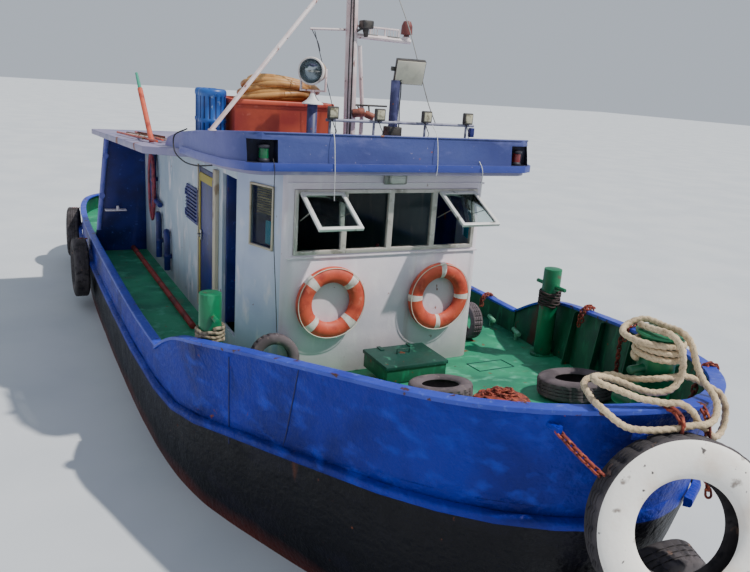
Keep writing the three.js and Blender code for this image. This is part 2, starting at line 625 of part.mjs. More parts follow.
// Recess for a side light, lined with a floor, back, cheek and top
const RECESS = { x0: FRONT_X + 60, inner: 1270, outer: 1530, low: VISOR_LIP_TOP_Z, high: DECK_Z + 2360 };
const across = (side, from, to) => (side > 0 ? [from, to] : [-to, -from]);
const lanternCut = (side) => box(
  RECESS.x0 + 20, FRONT_X + 400, ...across(side, RECESS.inner, RECESS.outer), RECESS.low, RECESS.high);
const insideVisor = plate(offset(visorOut, 56).reverse(), 400).translate(0, 0, ROOF_TOP_Z + GAP);
const inner = RECESS.inner - 20;
const lining = (side) => [
  box(RECESS.x0, FRONT_X + 220, ...across(side, inner, RECESS.outer), ROOF_TOP_Z + GAP, RECESS.low),
  box(RECESS.x0, RECESS.x0 + 20, ...across(side, inner, 1700), ROOF_TOP_Z + GAP, RECESS.high + 15),
  box(RECESS.x0, FRONT_X + 220, ...across(side, inner, RECESS.inner), ROOF_TOP_Z + GAP, RECESS.high + 15),
  box(RECESS.x0, FRONT_X + 220, ...across(side, inner, RECESS.outer), RECESS.high, RECESS.high + 15),
];
const linings = [...lining(1), ...lining(-1)].map((piece) => meet(piece, insideVisor));
const visor = join(cut(visorFace, lanternCut(1), lanternCut(-1)), visorLip, ...linings);
add('visor', cut(visor, roofShadow), PAINT.visorBlue);

// Side lights on the visor's recessed shelves
const sideLight = (side) => turned([
  [0, 0], [52, 0], [52, 24], [42, 30], [42, 120], [52, 126], [52, 146], [0, 160],
], 16).translate(FRONT_X + 134, side * 1380, VISOR_LIP_TOP_Z + GAP);
add('side_light_stbd', sideLight(-1), PAINT.lampGreen);
add('side_light_port', sideLight(1), PAINT.lampRed);

// Aluminium window frame: four bays in one band
const FRAME_BAR = 46;
const FRAME_PROUD = 18;
const FRAME_DEPTH = 46;
const MULLIONS = [-505, 0, 505];
const bayHalf = WINDOW_HALF - FRAME_BAR;
const bayEdges = [-bayHalf, ...MULLIONS.flatMap((y) => [y - 28, y + 28]), bayHalf];
const bays = [0, 2, 4, 6].map((k) => rect(
  bayEdges[k], bayEdges[k + 1], SILL_OF_WINDOWS_Z + FRAME_BAR, HEAD_OF_WINDOWS_Z - FRAME_BAR).reverse());
const frameInset = 10;
const frameEdge = WINDOW_HALF - frameInset;
const frameOutline = rect(
  -frameEdge, frameEdge, SILL_OF_WINDOWS_Z + frameInset, HEAD_OF_WINDOWS_Z - frameInset);
const frameBody = plateAcross(frameOutline, FRONT_X - FRAME_DEPTH + FRAME_PROUD, FRAME_DEPTH, bays);
add('window_frame', frameBody, PAINT.aluminium);

// Fixed glass in the two middle bays, one sheet behind the middle mullion
add('window_glass', box(
  FRONT_X - FRAME_DEPTH + FRAME_PROUD - 7, FRONT_X - FRAME_DEPTH + FRAME_PROUD - 1,
  -500, 500, SILL_OF_WINDOWS_Z + 20, HEAD_OF_WINDOWS_Z - 20,
), PAINT.glass);

// Two awning sashes, hung at their top rail and propped wide open
const SASH = { bar: 36, depth: 30, swing: 62 };
function sash(y0, y1) {
  const height = HEAD_OF_WINDOWS_Z - SILL_OF_WINDOWS_Z - 2 * FRAME_BAR - 12;
  const frame = plateAcross(rect(y0, y1, -height, 0), 0, SASH.depth,
    [rect(y0 + SASH.bar, y1 - SASH.bar, -height + SASH.bar, -SASH.bar).reverse()]);
  const lap = SASH.bar / 2;
  const pane = box(SASH.depth / 2 - 3, SASH.depth / 2 + 3, y0 + lap, y1 - lap, -height + lap, -lap);
  const whole = join(frame, pane);
  whole.rotateY(-THREE.MathUtils.degToRad(SASH.swing));
  return whole.translate(FRONT_X + FRAME_PROUD + 6, 0, HEAD_OF_WINDOWS_Z - FRAME_BAR - 6);
}
add('sash_stbd', sash(-WINDOW_HALF + FRAME_BAR + 6, MULLIONS[0] - 34), PAINT.aluminium);
add('sash_port', sash(MULLIONS[2] + 34, WINDOW_HALF - FRAME_BAR - 6), PAINT.aluminium);

// Corner windows: one framed pane in each bent corner panel
for (const [side, word] of [[-1, 'stbd'], [1, 'port']]) {
  const { from, to, low, high } = CORNER_WINDOW;
  const pane = cornerBlock(side, from + 1, to - 1, -WALL + 12, -WALL + 24, low + 1, high - 1);
  add(`corner_window_${word}`, pane, PAINT.glass);
}

// Navy wing plate each side, between house, roof edge and low bulwark.
// A red coaming pipe runs forward from its foot along the side deck.
const WING = { x: HOUSE_AFT_X + 20, thick: 24 };
const COAMING = { y: 1560, radius: 38, foreX: 1200 };
for (const [side, word] of [[-1, 'stbd'], [1, 'port']]) {
  const wingTopZ = wallTopZ(WING.x) - 1;
  const outline = [
    [side * (HOUSE_HALF + 2), DECK_Z + GAP + 1], [side * (between(DECK_HALF, WING.x) - 60), DECK_Z + GAP + 1],
    [side * (between(DECK_HALF, WING.x) - 100), LOW_RAIL_Z + 20], [side * 1960, wingTopZ],
    [side * (HOUSE_HALF + 2), wingTopZ],
  ];
  if (side < 0) outline.reverse();
  const [y, z] = [side * COAMING.y, DECK_Z + COAMING.radius + GAP];
  const pipe = barBetween([WING.x + 10, y, z], [COAMING.foreX, y, z], COAMING.radius, COAMING.radius, 8);
  add(`wing_plate_${word}`, join(plateAcross(outline, WING.x, WING.thick), pipe), PAINT.doorBlue);
}

// Life rings on the front wall
const RING = { major: 285, minor: 82 };
for (const [word, y, z] of [['stbd', -627, 787], ['port', 624, 759]]) {
  const ring = new THREE.TorusGeometry(RING.major, RING.minor, 10, 28).scale(1, 1, 0.72).rotateY(Math.PI / 2);
  add(`life_ring_${word}`, ring.translate(FRONT_X + RING.minor * 0.72 + 2, y, DECK_Z + z), PAINT.ringOrange);
}

// Fore hatch in front of the wheelhouse, with a hinged lid
const HATCH = { x0: 3060, x1: 3560, y0: -270, y1: 400, coamingZ: 1150, lid: 40 };
const hatchCoaming = cut(
  box(HATCH.x0, HATCH.x1, HATCH.y0, HATCH.y1, DECK_Z + 110, HATCH.coamingZ),
  box(HATCH.x0 + 40, HATCH.x1 - 40, HATCH.y0 + 40, HATCH.y1 - 40, DECK_Z, HATCH.coamingZ + 50),
);
add('fore_hatch_coaming', hatchCoaming, PAINT.bulwarkGreen);
const lidZ = HATCH.coamingZ + 1;
add('fore_hatch_lid', box(
  HATCH.x0 - 15, HATCH.x1 + 15, HATCH.y0 - 15, HATCH.y1 + 15, lidZ, lidZ + HATCH.lid), PAINT.lampGrey);

// Mooring posts at the shoulders, each with a cross pin
const POST = { x: 3250, y: 1900, radius: 98, topZ: 1965 };
for (const [side, word] of [[-1, 'stbd'], [1, 'port']]) {
  const foot = deckZ(POST.x) + 16;
  const y = side * POST.y;
  const pinZ = POST.topZ - 190;
  const pillar = barBetween([POST.x, y, foot], [POST.x, y, POST.topZ], POST.radius, POST.radius, 20);
  const pin = barBetween([POST.x - 230, y, pinZ], [POST.x + 230, y, pinZ], 22, 22, 10);
  add(`mooring_post_${word}`, join(pillar, pin), PAINT.postGreen);
}

// Bow bitt: stout post with a cap plate, a cross pin under it and a stub lower down
const BITT = { x: 6350, radius: 110, topZ: 2490, capRadius: 150, cap: 20, pinZ: 2268, pinHalf: 220 };
add('bow_bitt', join(
  barBetween([BITT.x, 0, deckZ(BITT.x) + 18], [BITT.x, 0, BITT.topZ - 10], BITT.radius, BITT.radius, 20),
  barBetween([BITT.x, 0, BITT.topZ - BITT.cap], [BITT.x, 0, BITT.topZ], BITT.capRadius, BITT.capRadius, 20),
  barBetween([BITT.x, -BITT.pinHalf, BITT.pinZ], [BITT.x, BITT.pinHalf, BITT.pinZ], 25, 25, 10),
  barBetween([BITT.x - 260, 0, BITT.pinZ - 300], [BITT.x, 0, BITT.pinZ - 300], 48, 48, 12),
), PAINT.postGreen);

// Towing bitt on the aft deck: two posts and a cross bar
const TOW = { x: -4300, half: 330, radius: 90, topZ: 1800 };
const towPost = (y) => barBetween([TOW.x, y, DECK_Z + GAP], [TOW.x, y, TOW.topZ], TOW.radius, TOW.radius, 20);
add('towing_bitt', join(
  towPost(TOW.half), towPost(-TOW.half),
  barBetween([TOW.x, -TOW.half - 260, TOW.topZ - 260], [TOW.x, TOW.half + 260, TOW.topZ - 260], 60, 60, 12),
), PAINT.postGreen);

// Aft hatch over the steering gear
const STERN_HATCH = { x0: -6100, x1: -5500, half: 320, coamingZ: 1080, wall: 40, lid: 40 };
function sternHatchBox(inset, lowZ, highZ) {
  const half = STERN_HATCH.half - inset;
  return box(STERN_HATCH.x0 + inset, STERN_HATCH.x1 - inset, -half, half, lowZ, highZ);
}
add('aft_hatch_coaming', cut(
  sternHatchBox(0, DECK_Z + GAP, STERN_HATCH.coamingZ),
  sternHatchBox(STERN_HATCH.wall, DECK_Z - 50, STERN_HATCH.coamingZ + 50),
), PAINT.bulwarkGreen);
const sternLidZ = STERN_HATCH.coamingZ + 1;
add('aft_hatch_lid', sternHatchBox(-15, sternLidZ, sternLidZ + STERN_HATCH.lid), PAINT.bulwarkGreen);

// Mast: tube leaning a little to starboard, a thin spreader to starboard and a railed arm to port,
// with an all-round lamp at its end
const MAST = { x: 2080, footY: -110, topY: -205, radius: 65, topRadius: 56, topZ: 5800 };
const mastFoot = ROOF_TOP_Z + GAP;
const mastY = (z) => MAST.footY + ((z - mastFoot) * (MAST.topY - MAST.footY)) / (MAST.topZ - mastFoot);
const ARM = { z: DECK_Z + 3336, portY: 538, stbdY: -609, railZ: DECK_Z + 3440 };
const armPosts = [60, 230, 390].map((y) => barBetween([MAST.x, y, ARM.z], [MAST.x, y, ARM.railZ], 10, 10, 6));
const armLamp = turned([
  [0, 0], [40, 0], [40, 44], [30, 48], [30, 64], [62, 68], [58, 154], [40, 200], [0, 210],
], 14).translate(MAST.x, ARM.portY - 50, ARM.z);
const belowRoof = box(MAST.x - 200, MAST.x + 200, -400, 200, mastFoot - 200, mastFoot);
add('mast', cut(join(
  barBetween([MAST.x, MAST.footY, mastFoot], [MAST.x, MAST.topY, MAST.topZ], MAST.radius, MAST.topRadius, 14),
  barBetween([MAST.x, mastY(ARM.z), ARM.z + 10], [MAST.x, ARM.portY, ARM.z], 26, 26, 8),
  barBetween([MAST.x, mastY(ARM.z), ARM.z + 60], [MAST.x, ARM.stbdY, ARM.z + 30], 12, 12, 8),
  barBetween([MAST.x, mastY(ARM.railZ), ARM.railZ], [MAST.x, 400, ARM.railZ], 10, 10, 6),
  ...armPosts, armLamp,
), belowRoof), PAINT.mastWhite);

// Raking stay pipe from the starboard corner of the visor up to the mast
const STAY = { foot: [2540, -1712, 3284], head: [MAST.x, mastY(5014), 5014], radius: 22 };
const stayFoot = box(2505, 2575, -1735, -1675, 3279, 3291);
const clearOfMast = barBetween(
  [MAST.x, MAST.footY, mastFoot], [MAST.x, MAST.topY, MAST.topZ], MAST.radius + 1, MAST.topRadius + 1, 14);
const underFoot = box(2400, 2700, -1900, -1500, 3000, 3279);
add('mast_stay', cut(
  join(barBetween(STAY.foot, STAY.head, STAY.radius, STAY.radius, 8), stayFoot), clearOfMast, underFoot,
), PAINT.mastWhite);

// Searchlight: fixed post with a conical cap, a yoke that turns on it and a lamp that tilts in the yoke.
// It is drawn facing forward and then turned to where the photographed one points.
const SEARCH = { x: 2400, y: -680, postTopZ: 3655, lampZ: 3860, turn: -40 };
add('searchlight_post', turned([
  [0, mastFoot], [90, mastFoot], [90, mastFoot + 12], [50, mastFoot + 14], [50, 3555], [98, 3557],
  [52, SEARCH.postTopZ], [0, SEARCH.postTopZ],
], 16).translate(SEARCH.x, SEARCH.y, 0), PAINT.doorBlue);
const YOKE = { half: 124, bar: 12, wide: 20, lowZ: 3672, baseTopZ: 3688 };
const lampTurn = THREE.MathUtils.degToRad(SEARCH.turn);
const faced = (geometry) => geometry.rotateZ(lampTurn).translate(SEARCH.x, SEARCH.y, 0);
const yokeArm = (y) => box(
  -YOKE.wide, YOKE.wide, y - YOKE.bar / 2, y + YOKE.bar / 2, YOKE.lowZ, SEARCH.lampZ + 30);
add('searchlight_yoke', faced(join(
  barBetween([0, 0, SEARCH.postTopZ + 1], [0, 0, YOKE.lowZ + 10], 24, 24, 12),
  box(-YOKE.wide, YOKE.wide, -YOKE.half, YOKE.half, YOKE.lowZ, YOKE.baseTopZ),
  yokeArm(YOKE.half), yokeArm(-YOKE.half),
)), PAINT.lampGrey);
const lampBody = turned([
  [0, -150], [58, -146], [100, -100], [105, -60], [105, 58],
  [130, 62], [130, 100], [112, 100], [98, 40], [0, 20],
], 20).rotateY(Math.PI / 2);
const trunnions = barBetween([0, -YOKE.half + 9, 0], [0, YOKE.half - 9, 0], 12, 12, 10);
add('searchlight', faced(join(lampBody, trunnions).translate(0, 0, SEARCH.lampZ)), PAINT.lampGrey);

// Bar above the visor with four small floodlights, and the post of the large one
const BAR = { x: FRONT_X + 60, z: DECK_Z + 2540, stbdY: -770, portY: 850 };
const FLOOD_PLACES = [-720, -240, 270, 750];
const smallFlood = (y) => box(BAR.x + 10, BAR.x + 65, y - 50, y + 50, BAR.z + 14, BAR.z + 124);
const floodStem = (y) => barBetween([BAR.x, y, BAR.z], [BAR.x + 35, y, BAR.z + 30], 10, 10, 6);
const barLeg = (y) => barBetween([BAR.x, y, mastFoot], [BAR.x, y, BAR.z], 12, 12, 8);
const FLOOD = { x: 2780, y: 20, topZ: 3830, headX: 60, headY: 110, headZ: 85 };
const floodHead = box(-35, 30, -145, 145, -120, 120)
  .rotateY(THREE.MathUtils.degToRad(40)).rotateZ(THREE.MathUtils.degToRad(-15))
  .translate(FLOOD.x + FLOOD.headX, FLOOD.y + FLOOD.headY, FLOOD.topZ + FLOOD.headZ);
add('flood_lights', join(
  barBetween([BAR.x, BAR.stbdY, BAR.z], [BAR.x, BAR.portY, BAR.z], 14, 14, 8),
  ...FLOOD_PLACES.flatMap((y) => [smallFlood(y), floodStem(y)]),
  ...[-730, -280, 280, 760].map(barLeg),
  barBetween([FLOOD.x, FLOOD.y, mastFoot], [FLOOD.x, FLOOD.y, FLOOD.topZ], 46, 46, 12),
  box(FLOOD.x - 75, FLOOD.x + 75, FLOOD.y - 75, FLOOD.y + 75, mastFoot, mastFoot + 90),
  barBetween([FLOOD.x, FLOOD.y, BAR.z], [BAR.x, FLOOD.y, BAR.z], 14, 14, 8),
  barBetween(
    [FLOOD.x, FLOOD.y, FLOOD.topZ - 30],
    [FLOOD.x + FLOOD.headX, FLOOD.y + FLOOD.headY, FLOOD.topZ + FLOOD.headZ], 24, 24, 8),
  floodHead,
), PAINT.lampGrey);

// Fish tub and two drums stowed on the roof
const TUB = { x: 1620, y: -830, halfX: 400, halfY: 520, height: 520, wallThick: 30 };
function tubBox(grow, lowZ, highZ) {
  const [hx, hy] = [TUB.halfX + grow, TUB.halfY + grow];
  return box(TUB.x - hx, TUB.x + hx, TUB.y - hy, TUB.y + hy, lowZ, highZ);
}
const tubTop = mastFoot + TUB.height;
add('fish_tub', cut(
  join(tubBox(0, mastFoot, tubTop), tubBox(25, tubTop - 50, tubTop)),
  tubBox(-TUB.wallThick, mastFoot + TUB.wallThick, tubTop + 50),
), PAINT.tubRed);
const drum = (x, y, radius) => turned([
  [0, mastFoot], [radius - 10, mastFoot], [radius, mastFoot + 30], [radius, mastFoot + 550],
  [radius - 15, mastFoot + 600], [0, mastFoot + 600],
], 18).translate(x, y, 0);
const strap = box(1640, 1730, -1550, -1480, mastFoot + 200, mastFoot + 240);
add('drums', join(drum(1850, -1522, 138), drum(1545, -1502, 118), strap), PAINT.drumBlue);

// Exhaust pipe up the aft wall
const EXHAUST = { x: HOUSE_AFT_X - 160, y: 900 };
add('exhaust_pipe', join(
  barBetween([EXHAUST.x, EXHAUST.y, DECK_Z + GAP + 1], [EXHAUST.x, EXHAUST.y, 2560], 75, 75, 14),
  barBetween([EXHAUST.x, EXHAUST.y, 2500], [EXHAUST.x - 420, EXHAUST.y, 2600], 60, 60, 14),
), PAINT.rust);

// Helm console and wheel inside the wheelhouse
const HELM = { x: 2380, z: 1780 };
add('helm_console', box(2420, 2780, -500, 500, DECK_Z + GAP + 1, 1980), PAINT.console);
add('helm_wheel', join(
  new THREE.TorusGeometry(250, 18, 8, 24).rotateY(Math.PI / 2).translate(HELM.x - 40, 0, HELM.z),
  barBetween([HELM.x - 60, 0, HELM.z], [2412, 0, HELM.z], 26, 26, 12),
  ...[0, 1, 2].map((k) => barBetween([0, -250, 0], [0, 250, 0], 12, 12, 6)
    .rotateX((k * Math.PI) / 3).translate(HELM.x - 40, 0, HELM.z)),
), PAINT.console);

// Fender tyres. Profile of [radius, half-width share] round a tyre's own axis
function tyre(outer, hole, width, segments = 18) {
  const w = width / 2;
  const side = outer - hole;
  return turned([
    [hole, -w * 0.62], [hole + side * 0.45, -w], [outer, -w * 0.72],
    [outer, w * 0.72], [hole + side * 0.45, w], [hole, w * 0.62],
    [outer - side * 0.24, 0], [hole, -w * 0.62],
  ], segments);
}

// Chain drawn as flat links, each turned a quarter from the one before
function chain(from, to, link = 90, thick = 22) {
  const a = new THREE.Vector3(...from);
  const b = new THREE.Vector3(...to);
  const count = Math.max(2, Math.round(a.distanceTo(b) / (link * 0.8)));
  const along = b.clone().sub(a);
  const length = along.length() / count + thick;
  const way = along.clone().normalize();
  const turn = new THREE.Quaternion().setFromUnitVectors(new THREE.Vector3(0, 0, 1), way);
  return Array.from({ length: count }, (_, k) => {
    const flat = k % 2 === 0;
    const piece = new THREE.BoxGeometry(flat ? thick * 2.4 : thick, flat ? thick : thick * 2.4, length);
    const middle = a.clone().addScaledVector(along, (k + 0.5) / count);
    return piece.applyQuaternion(turn).translate(middle.x, middle.y, middle.z);
  });
}

// Rubbing strake along each side just below the deck edge, carrying its row of hung tyres
const STRAKE = { drop: 150, deep: 70, proud: 55 };
const STRAKE_STATIONS = HULL_STATIONS.filter((x) => x >= -6400 && x <= 6480);
function strake(side) {
  const path = STRAKE_STATIONS.map((x) => [x, between(DECK_HALF, x) + 3]);
  const out = offset(path, STRAKE.proud);
  return loft(path.map(([x, y], k) => {
    const high = deckZ(x) - STRAKE.drop + STRAKE.deep;
    return [[x, side * y, high - STRAKE.deep], [out[k][0], side * out[k][1], high - STRAKE.deep + 10],
      [out[k][0], side * out[k][1], high - 10], [x, side * y, high]];
  }));
}

const HUNG_TYRE = { outer: 470, hole: 265, width: 230 };
function hungTyre(x, side) {
  const y = between(DECK_HALF, x);
  const slope = (between(DECK_HALF, x + 100) - between(DECK_HALF, x - 100)) / 200;
  const z = deckZ(x) - 260;
  const out = STRAKE.proud + HUNG_TYRE.width / 2 - 12;
  const body = tyre(HUNG_TYRE.outer, HUNG_TYRE.hole, HUNG_TYRE.width, 18).rotateX(Math.PI / 2);
  body.rotateZ(side * Math.atan(slope)).translate(x, side * (y + out), z);
  const topY = y + out;
  const links = chain([x, side * (y + 52), deckZ(x) + 200], [x, side * topY, z + HUNG_TYRE.outer - 60]);
  return [body, ...links];
}
const PORT_TYRES = [-5600, -3300, -1000, 1500, 3750, 4650];
const STBD_TYRES = [-5600, -2900];
for (const [side, word, places] of [[1, 'port', PORT_TYRES], [-1, 'stbd', STBD_TYRES]]) {
  add(`fender_row_${word}`, join(strake(side), ...places.flatMap((x) => hungTyre(x, side))), PAINT.tyreBlack);
}

// Stem fender: a large white-walled tyre on the stem with a smaller one below and behind it, on chains
const STEM_TYRE = { x: 6990, y: -266, z: 1570, outer: 523, hole: 293, width: 230, turn: -24.5, lift: 16.1 };
function stemTyre({ x, y, z, outer, hole, width, turn, lift }) {
  const body = tyre(outer, hole, width, 32).translate(0, 0, -width / 2).rotateY(Math.PI / 2);
  body.rotateY(-THREE.MathUtils.degToRad(lift)).rotateZ(THREE.MathUtils.degToRad(turn));
  return body.translate(x, y, z);
}
const LOW_TYRE = { x: 6640, y: 0, z: 700, outer: 480, hole: 270, width: 230, turn: 0, lift: -20.8 };
add('stem_fender', join(
  stemTyre(STEM_TYRE), stemTyre(LOW_TYRE),
  ...chain([6950, -235, 1040], [6770, -20, 1110], 90, 30),
  ...chain([6352, -716, 1960], [6631, -583, 1777], 80, 20),
), PAINT.tyreWhite);

// Spare tyres: two lying on the foredeck, the small one under a heap of old chain drawn as a low mound,
// one leaning on the starboard corner of the house front and one standing at its port side
const deckLean = -Math.atan(SHEER_SLOPE);
function lyingTyre({ x, y, outer, hole, width }) {
  const lift = width / 2 + 4;
  const body = tyre(outer, hole, width, 20).rotateY(deckLean);
  return body.translate(x + lift * Math.sin(deckLean), y, deckZ(x) + lift / Math.cos(deckLean));
}
add('deck_tyre', lyingTyre({ x: 4640, y: 1100, outer: 340, hole: 178, width: 185 }), PAINT.tyreBlack);
const HEAP = { x: 4520, y: 360, radius: 280, height: 130 };
const heap = turned([
  [0, 0], [HEAP.radius, 0], [HEAP.radius * 0.92, HEAP.height * 0.45], [HEAP.radius * 0.6, HEAP.height * 0.85],
  [0, HEAP.height],
], 12).rotateY(deckLean).translate(HEAP.x, HEAP.y, deckZ(HEAP.x) + 3);
const greyTyre = lyingTyre({ x: 4190, y: -60, outer: 290, hole: 165, width: 170 });
add('tyre_and_chain_heap', join(greyTyre, heap), PAINT.rust);
add('shoulder_tyre', stemTyre({
  x: 3060, y: -1215, z: 1192, outer: 240, hole: 140, width: 160, turn: -8, lift: 12,
}), PAINT.tyreBlack);
const standing = tyre(220, 125, 150).rotateX(Math.PI / 2).translate(2385, 1462, DECK_Z + 222);
add('port_side_tyre', standing, PAINT.tyreBlack);

// Mooring rope kept on the bow bitt: its turns under the cap plate, as one ring
const ROPE = { radius: 22, turnsLowZ: 2294.6, turnsTopZ: 2462.4 };
const turnsInner = BITT.radius + 1.5;
const turnsOuter = turnsInner + 2 * ROPE.radius;
add('rope_turns', turned([
  [turnsInner, ROPE.turnsLowZ], [turnsOuter, ROPE.turnsLowZ], [turnsOuter, ROPE.turnsTopZ],
  [turnsInner, ROPE.turnsTopZ], [turnsInner, ROPE.turnsLowZ],
], 20).translate(BITT.x, 0, 0), PAINT.rope);

// Its free part: from the bare end on the cap plate down to the rail, an inner bight, a dip over the stem,
// an outer bight that hangs over the starboard bow, up over the cap again and down to the turns
const ROPE_ROUTE = [
  [6262, -96, 2515], [6320, -98, 2516], [6380, -98, 2519], [6440, -94, 2526], [6490, -84, 2520],
  [6528, -70, 2494], [6551, -54, 2448], [6562, -42, 2390], [6566, -36, 2330], [6566, -44, 2272],
  [6562, -78, 2226], [6548, -130, 2200], [6512, -188, 2188], [6450, -234, 2190], [6384, -268, 2200],
  [6328, -312, 2212], [6298, -372, 2224], [6300, -436, 2236], [6344, -486, 2244], [6408, -490, 2242],
  [6462, -446, 2230], [6508, -388, 2210], [6552, -325, 2188], [6592, -264, 2182], [6634, -204, 2178],
  [6677, -146, 2185], [6716, -82, 2143], [6724, -20, 2066], [6736, 38, 2022], [6738, 92, 1978],
  [6730, 148, 1954], [6718, 198, 1964], [6706, 232, 2004], [6698, 240, 2058], [6684, 238, 2124],
  [6646, 230, 2175], [6604, 214, 2192], [6556, 186, 2212], [6510, 140, 2232], [6484, 82, 2244],
  [6492, 18, 2250], [6482, -50, 2250], [6450, -118, 2238], [6392, -172, 2222], [6326, -216, 2208],
  [6258, -246, 2204], [6204, -290, 2182], [6180, -346, 2166], [6194, -402, 2154], [6242, -444, 2145],
  [6308, -476, 2138], [6376, -508, 2133], [6440, -534, 2138], [6504, -532, 2123], [6557, -488, 2078],
  [6592, -424, 2042], [6640, -346, 2038], [6682, -269, 2046], [6722, -187, 2062], [6754, -105, 2080],
  [6778, -30, 2086], [6775, 30, 2098], [6754, 74, 2140], [6722, 100, 2178], [6682, 114, 2206],
  [6640, 120, 2228], [6600, 118, 2258], [6572, 102, 2304], [6558, 80, 2358], [6552, 56, 2412],
  [6544, 34, 2462], [6524, 16, 2502], [6486, 6, 2524], [6436, 4, 2530], [6380, 16, 2522],
  [6320, 28, 2517], [6260, 30, 2518], [6204, 14, 2518], [6168, -22, 2502], [6152, -72, 2477],
  [6168, -124, 2456], [6210, -162, 2447], [6266, -180, 2446], [6340, -184, 2445],
];
function ropeTube(route, radius, steps) {
  const curve = new THREE.CatmullRomCurve3(route.map((p) => new THREE.Vector3(...p)), false, 'centripetal');
  const section = new THREE.Shape();
  for (let k = 0; k < 8; k += 1) {
    const angle = (k / 8) * 2 * Math.PI;
    const [x, y] = [radius * Math.cos(angle), radius * Math.sin(angle)];
    if (k === 0) section.moveTo(x, y);
    else section.lineTo(x, y);
  }
  return new THREE.ExtrudeGeometry(section, { steps, extrudePath: curve });
}
add('mooring_rope', ropeTube(ROPE_ROUTE, ROPE.radius, 80), PAINT.rope);

export default boat;
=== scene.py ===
import json
import math
import random

import bmesh
import bpy
from mathutils import Matrix, Vector

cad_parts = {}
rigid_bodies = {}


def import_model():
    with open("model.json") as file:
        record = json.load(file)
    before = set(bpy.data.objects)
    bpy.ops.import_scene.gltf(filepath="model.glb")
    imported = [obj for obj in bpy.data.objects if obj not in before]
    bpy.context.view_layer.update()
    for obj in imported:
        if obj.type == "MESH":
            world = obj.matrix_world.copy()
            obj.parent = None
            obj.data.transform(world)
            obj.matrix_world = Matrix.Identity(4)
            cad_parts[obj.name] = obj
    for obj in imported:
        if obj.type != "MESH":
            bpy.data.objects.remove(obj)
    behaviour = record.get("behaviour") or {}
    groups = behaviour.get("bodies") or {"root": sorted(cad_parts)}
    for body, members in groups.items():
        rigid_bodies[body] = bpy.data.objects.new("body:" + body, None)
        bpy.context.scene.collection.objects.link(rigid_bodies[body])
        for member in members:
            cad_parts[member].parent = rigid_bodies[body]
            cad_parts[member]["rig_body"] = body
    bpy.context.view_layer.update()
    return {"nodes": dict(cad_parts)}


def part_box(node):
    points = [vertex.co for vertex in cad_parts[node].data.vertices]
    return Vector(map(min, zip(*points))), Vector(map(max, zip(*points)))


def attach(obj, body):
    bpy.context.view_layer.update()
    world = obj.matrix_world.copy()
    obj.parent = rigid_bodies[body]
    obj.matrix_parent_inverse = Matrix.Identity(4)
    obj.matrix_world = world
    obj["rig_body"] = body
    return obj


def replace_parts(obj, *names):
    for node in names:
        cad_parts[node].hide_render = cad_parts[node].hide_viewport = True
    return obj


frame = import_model()
node = frame["nodes"]
bpy.ops.object.select_all(action="DESELECT")


# CAMERA
# Stands above and off the starboard bow, looking aft and down with a little tilt, as in the photograph.
camera_place = Vector((9.167, -3.460, 3.799))
yaw, pitch, roll = math.radians(28.093), math.radians(15.688), math.radians(4.026)
look = Vector((-math.cos(pitch) * math.cos(yaw), math.cos(pitch) * math.sin(yaw), -math.sin(pitch)))
level_right = look.cross(Vector((0, 0, 1))).normalized()
level_up = level_right.cross(look)
right = math.cos(roll) * level_right + math.sin(roll) * level_up
up = math.cos(roll) * level_up - math.sin(roll) * level_right
bpy.ops.object.camera_add()
camera = bpy.context.object
camera.name = "camera"
camera.data.lens = 34.75
camera.data.sensor_width = 36
camera.data.clip_end = 500
camera.matrix_world = Matrix((
    (right.x, up.x, -look.x, camera_place.x),
    (right.y, up.y, -look.y, camera_place.y),
    (right.z, up.z, -look.z, camera_place.z),
    (0, 0, 0, 1),
))
bpy.context.scene.camera = camera


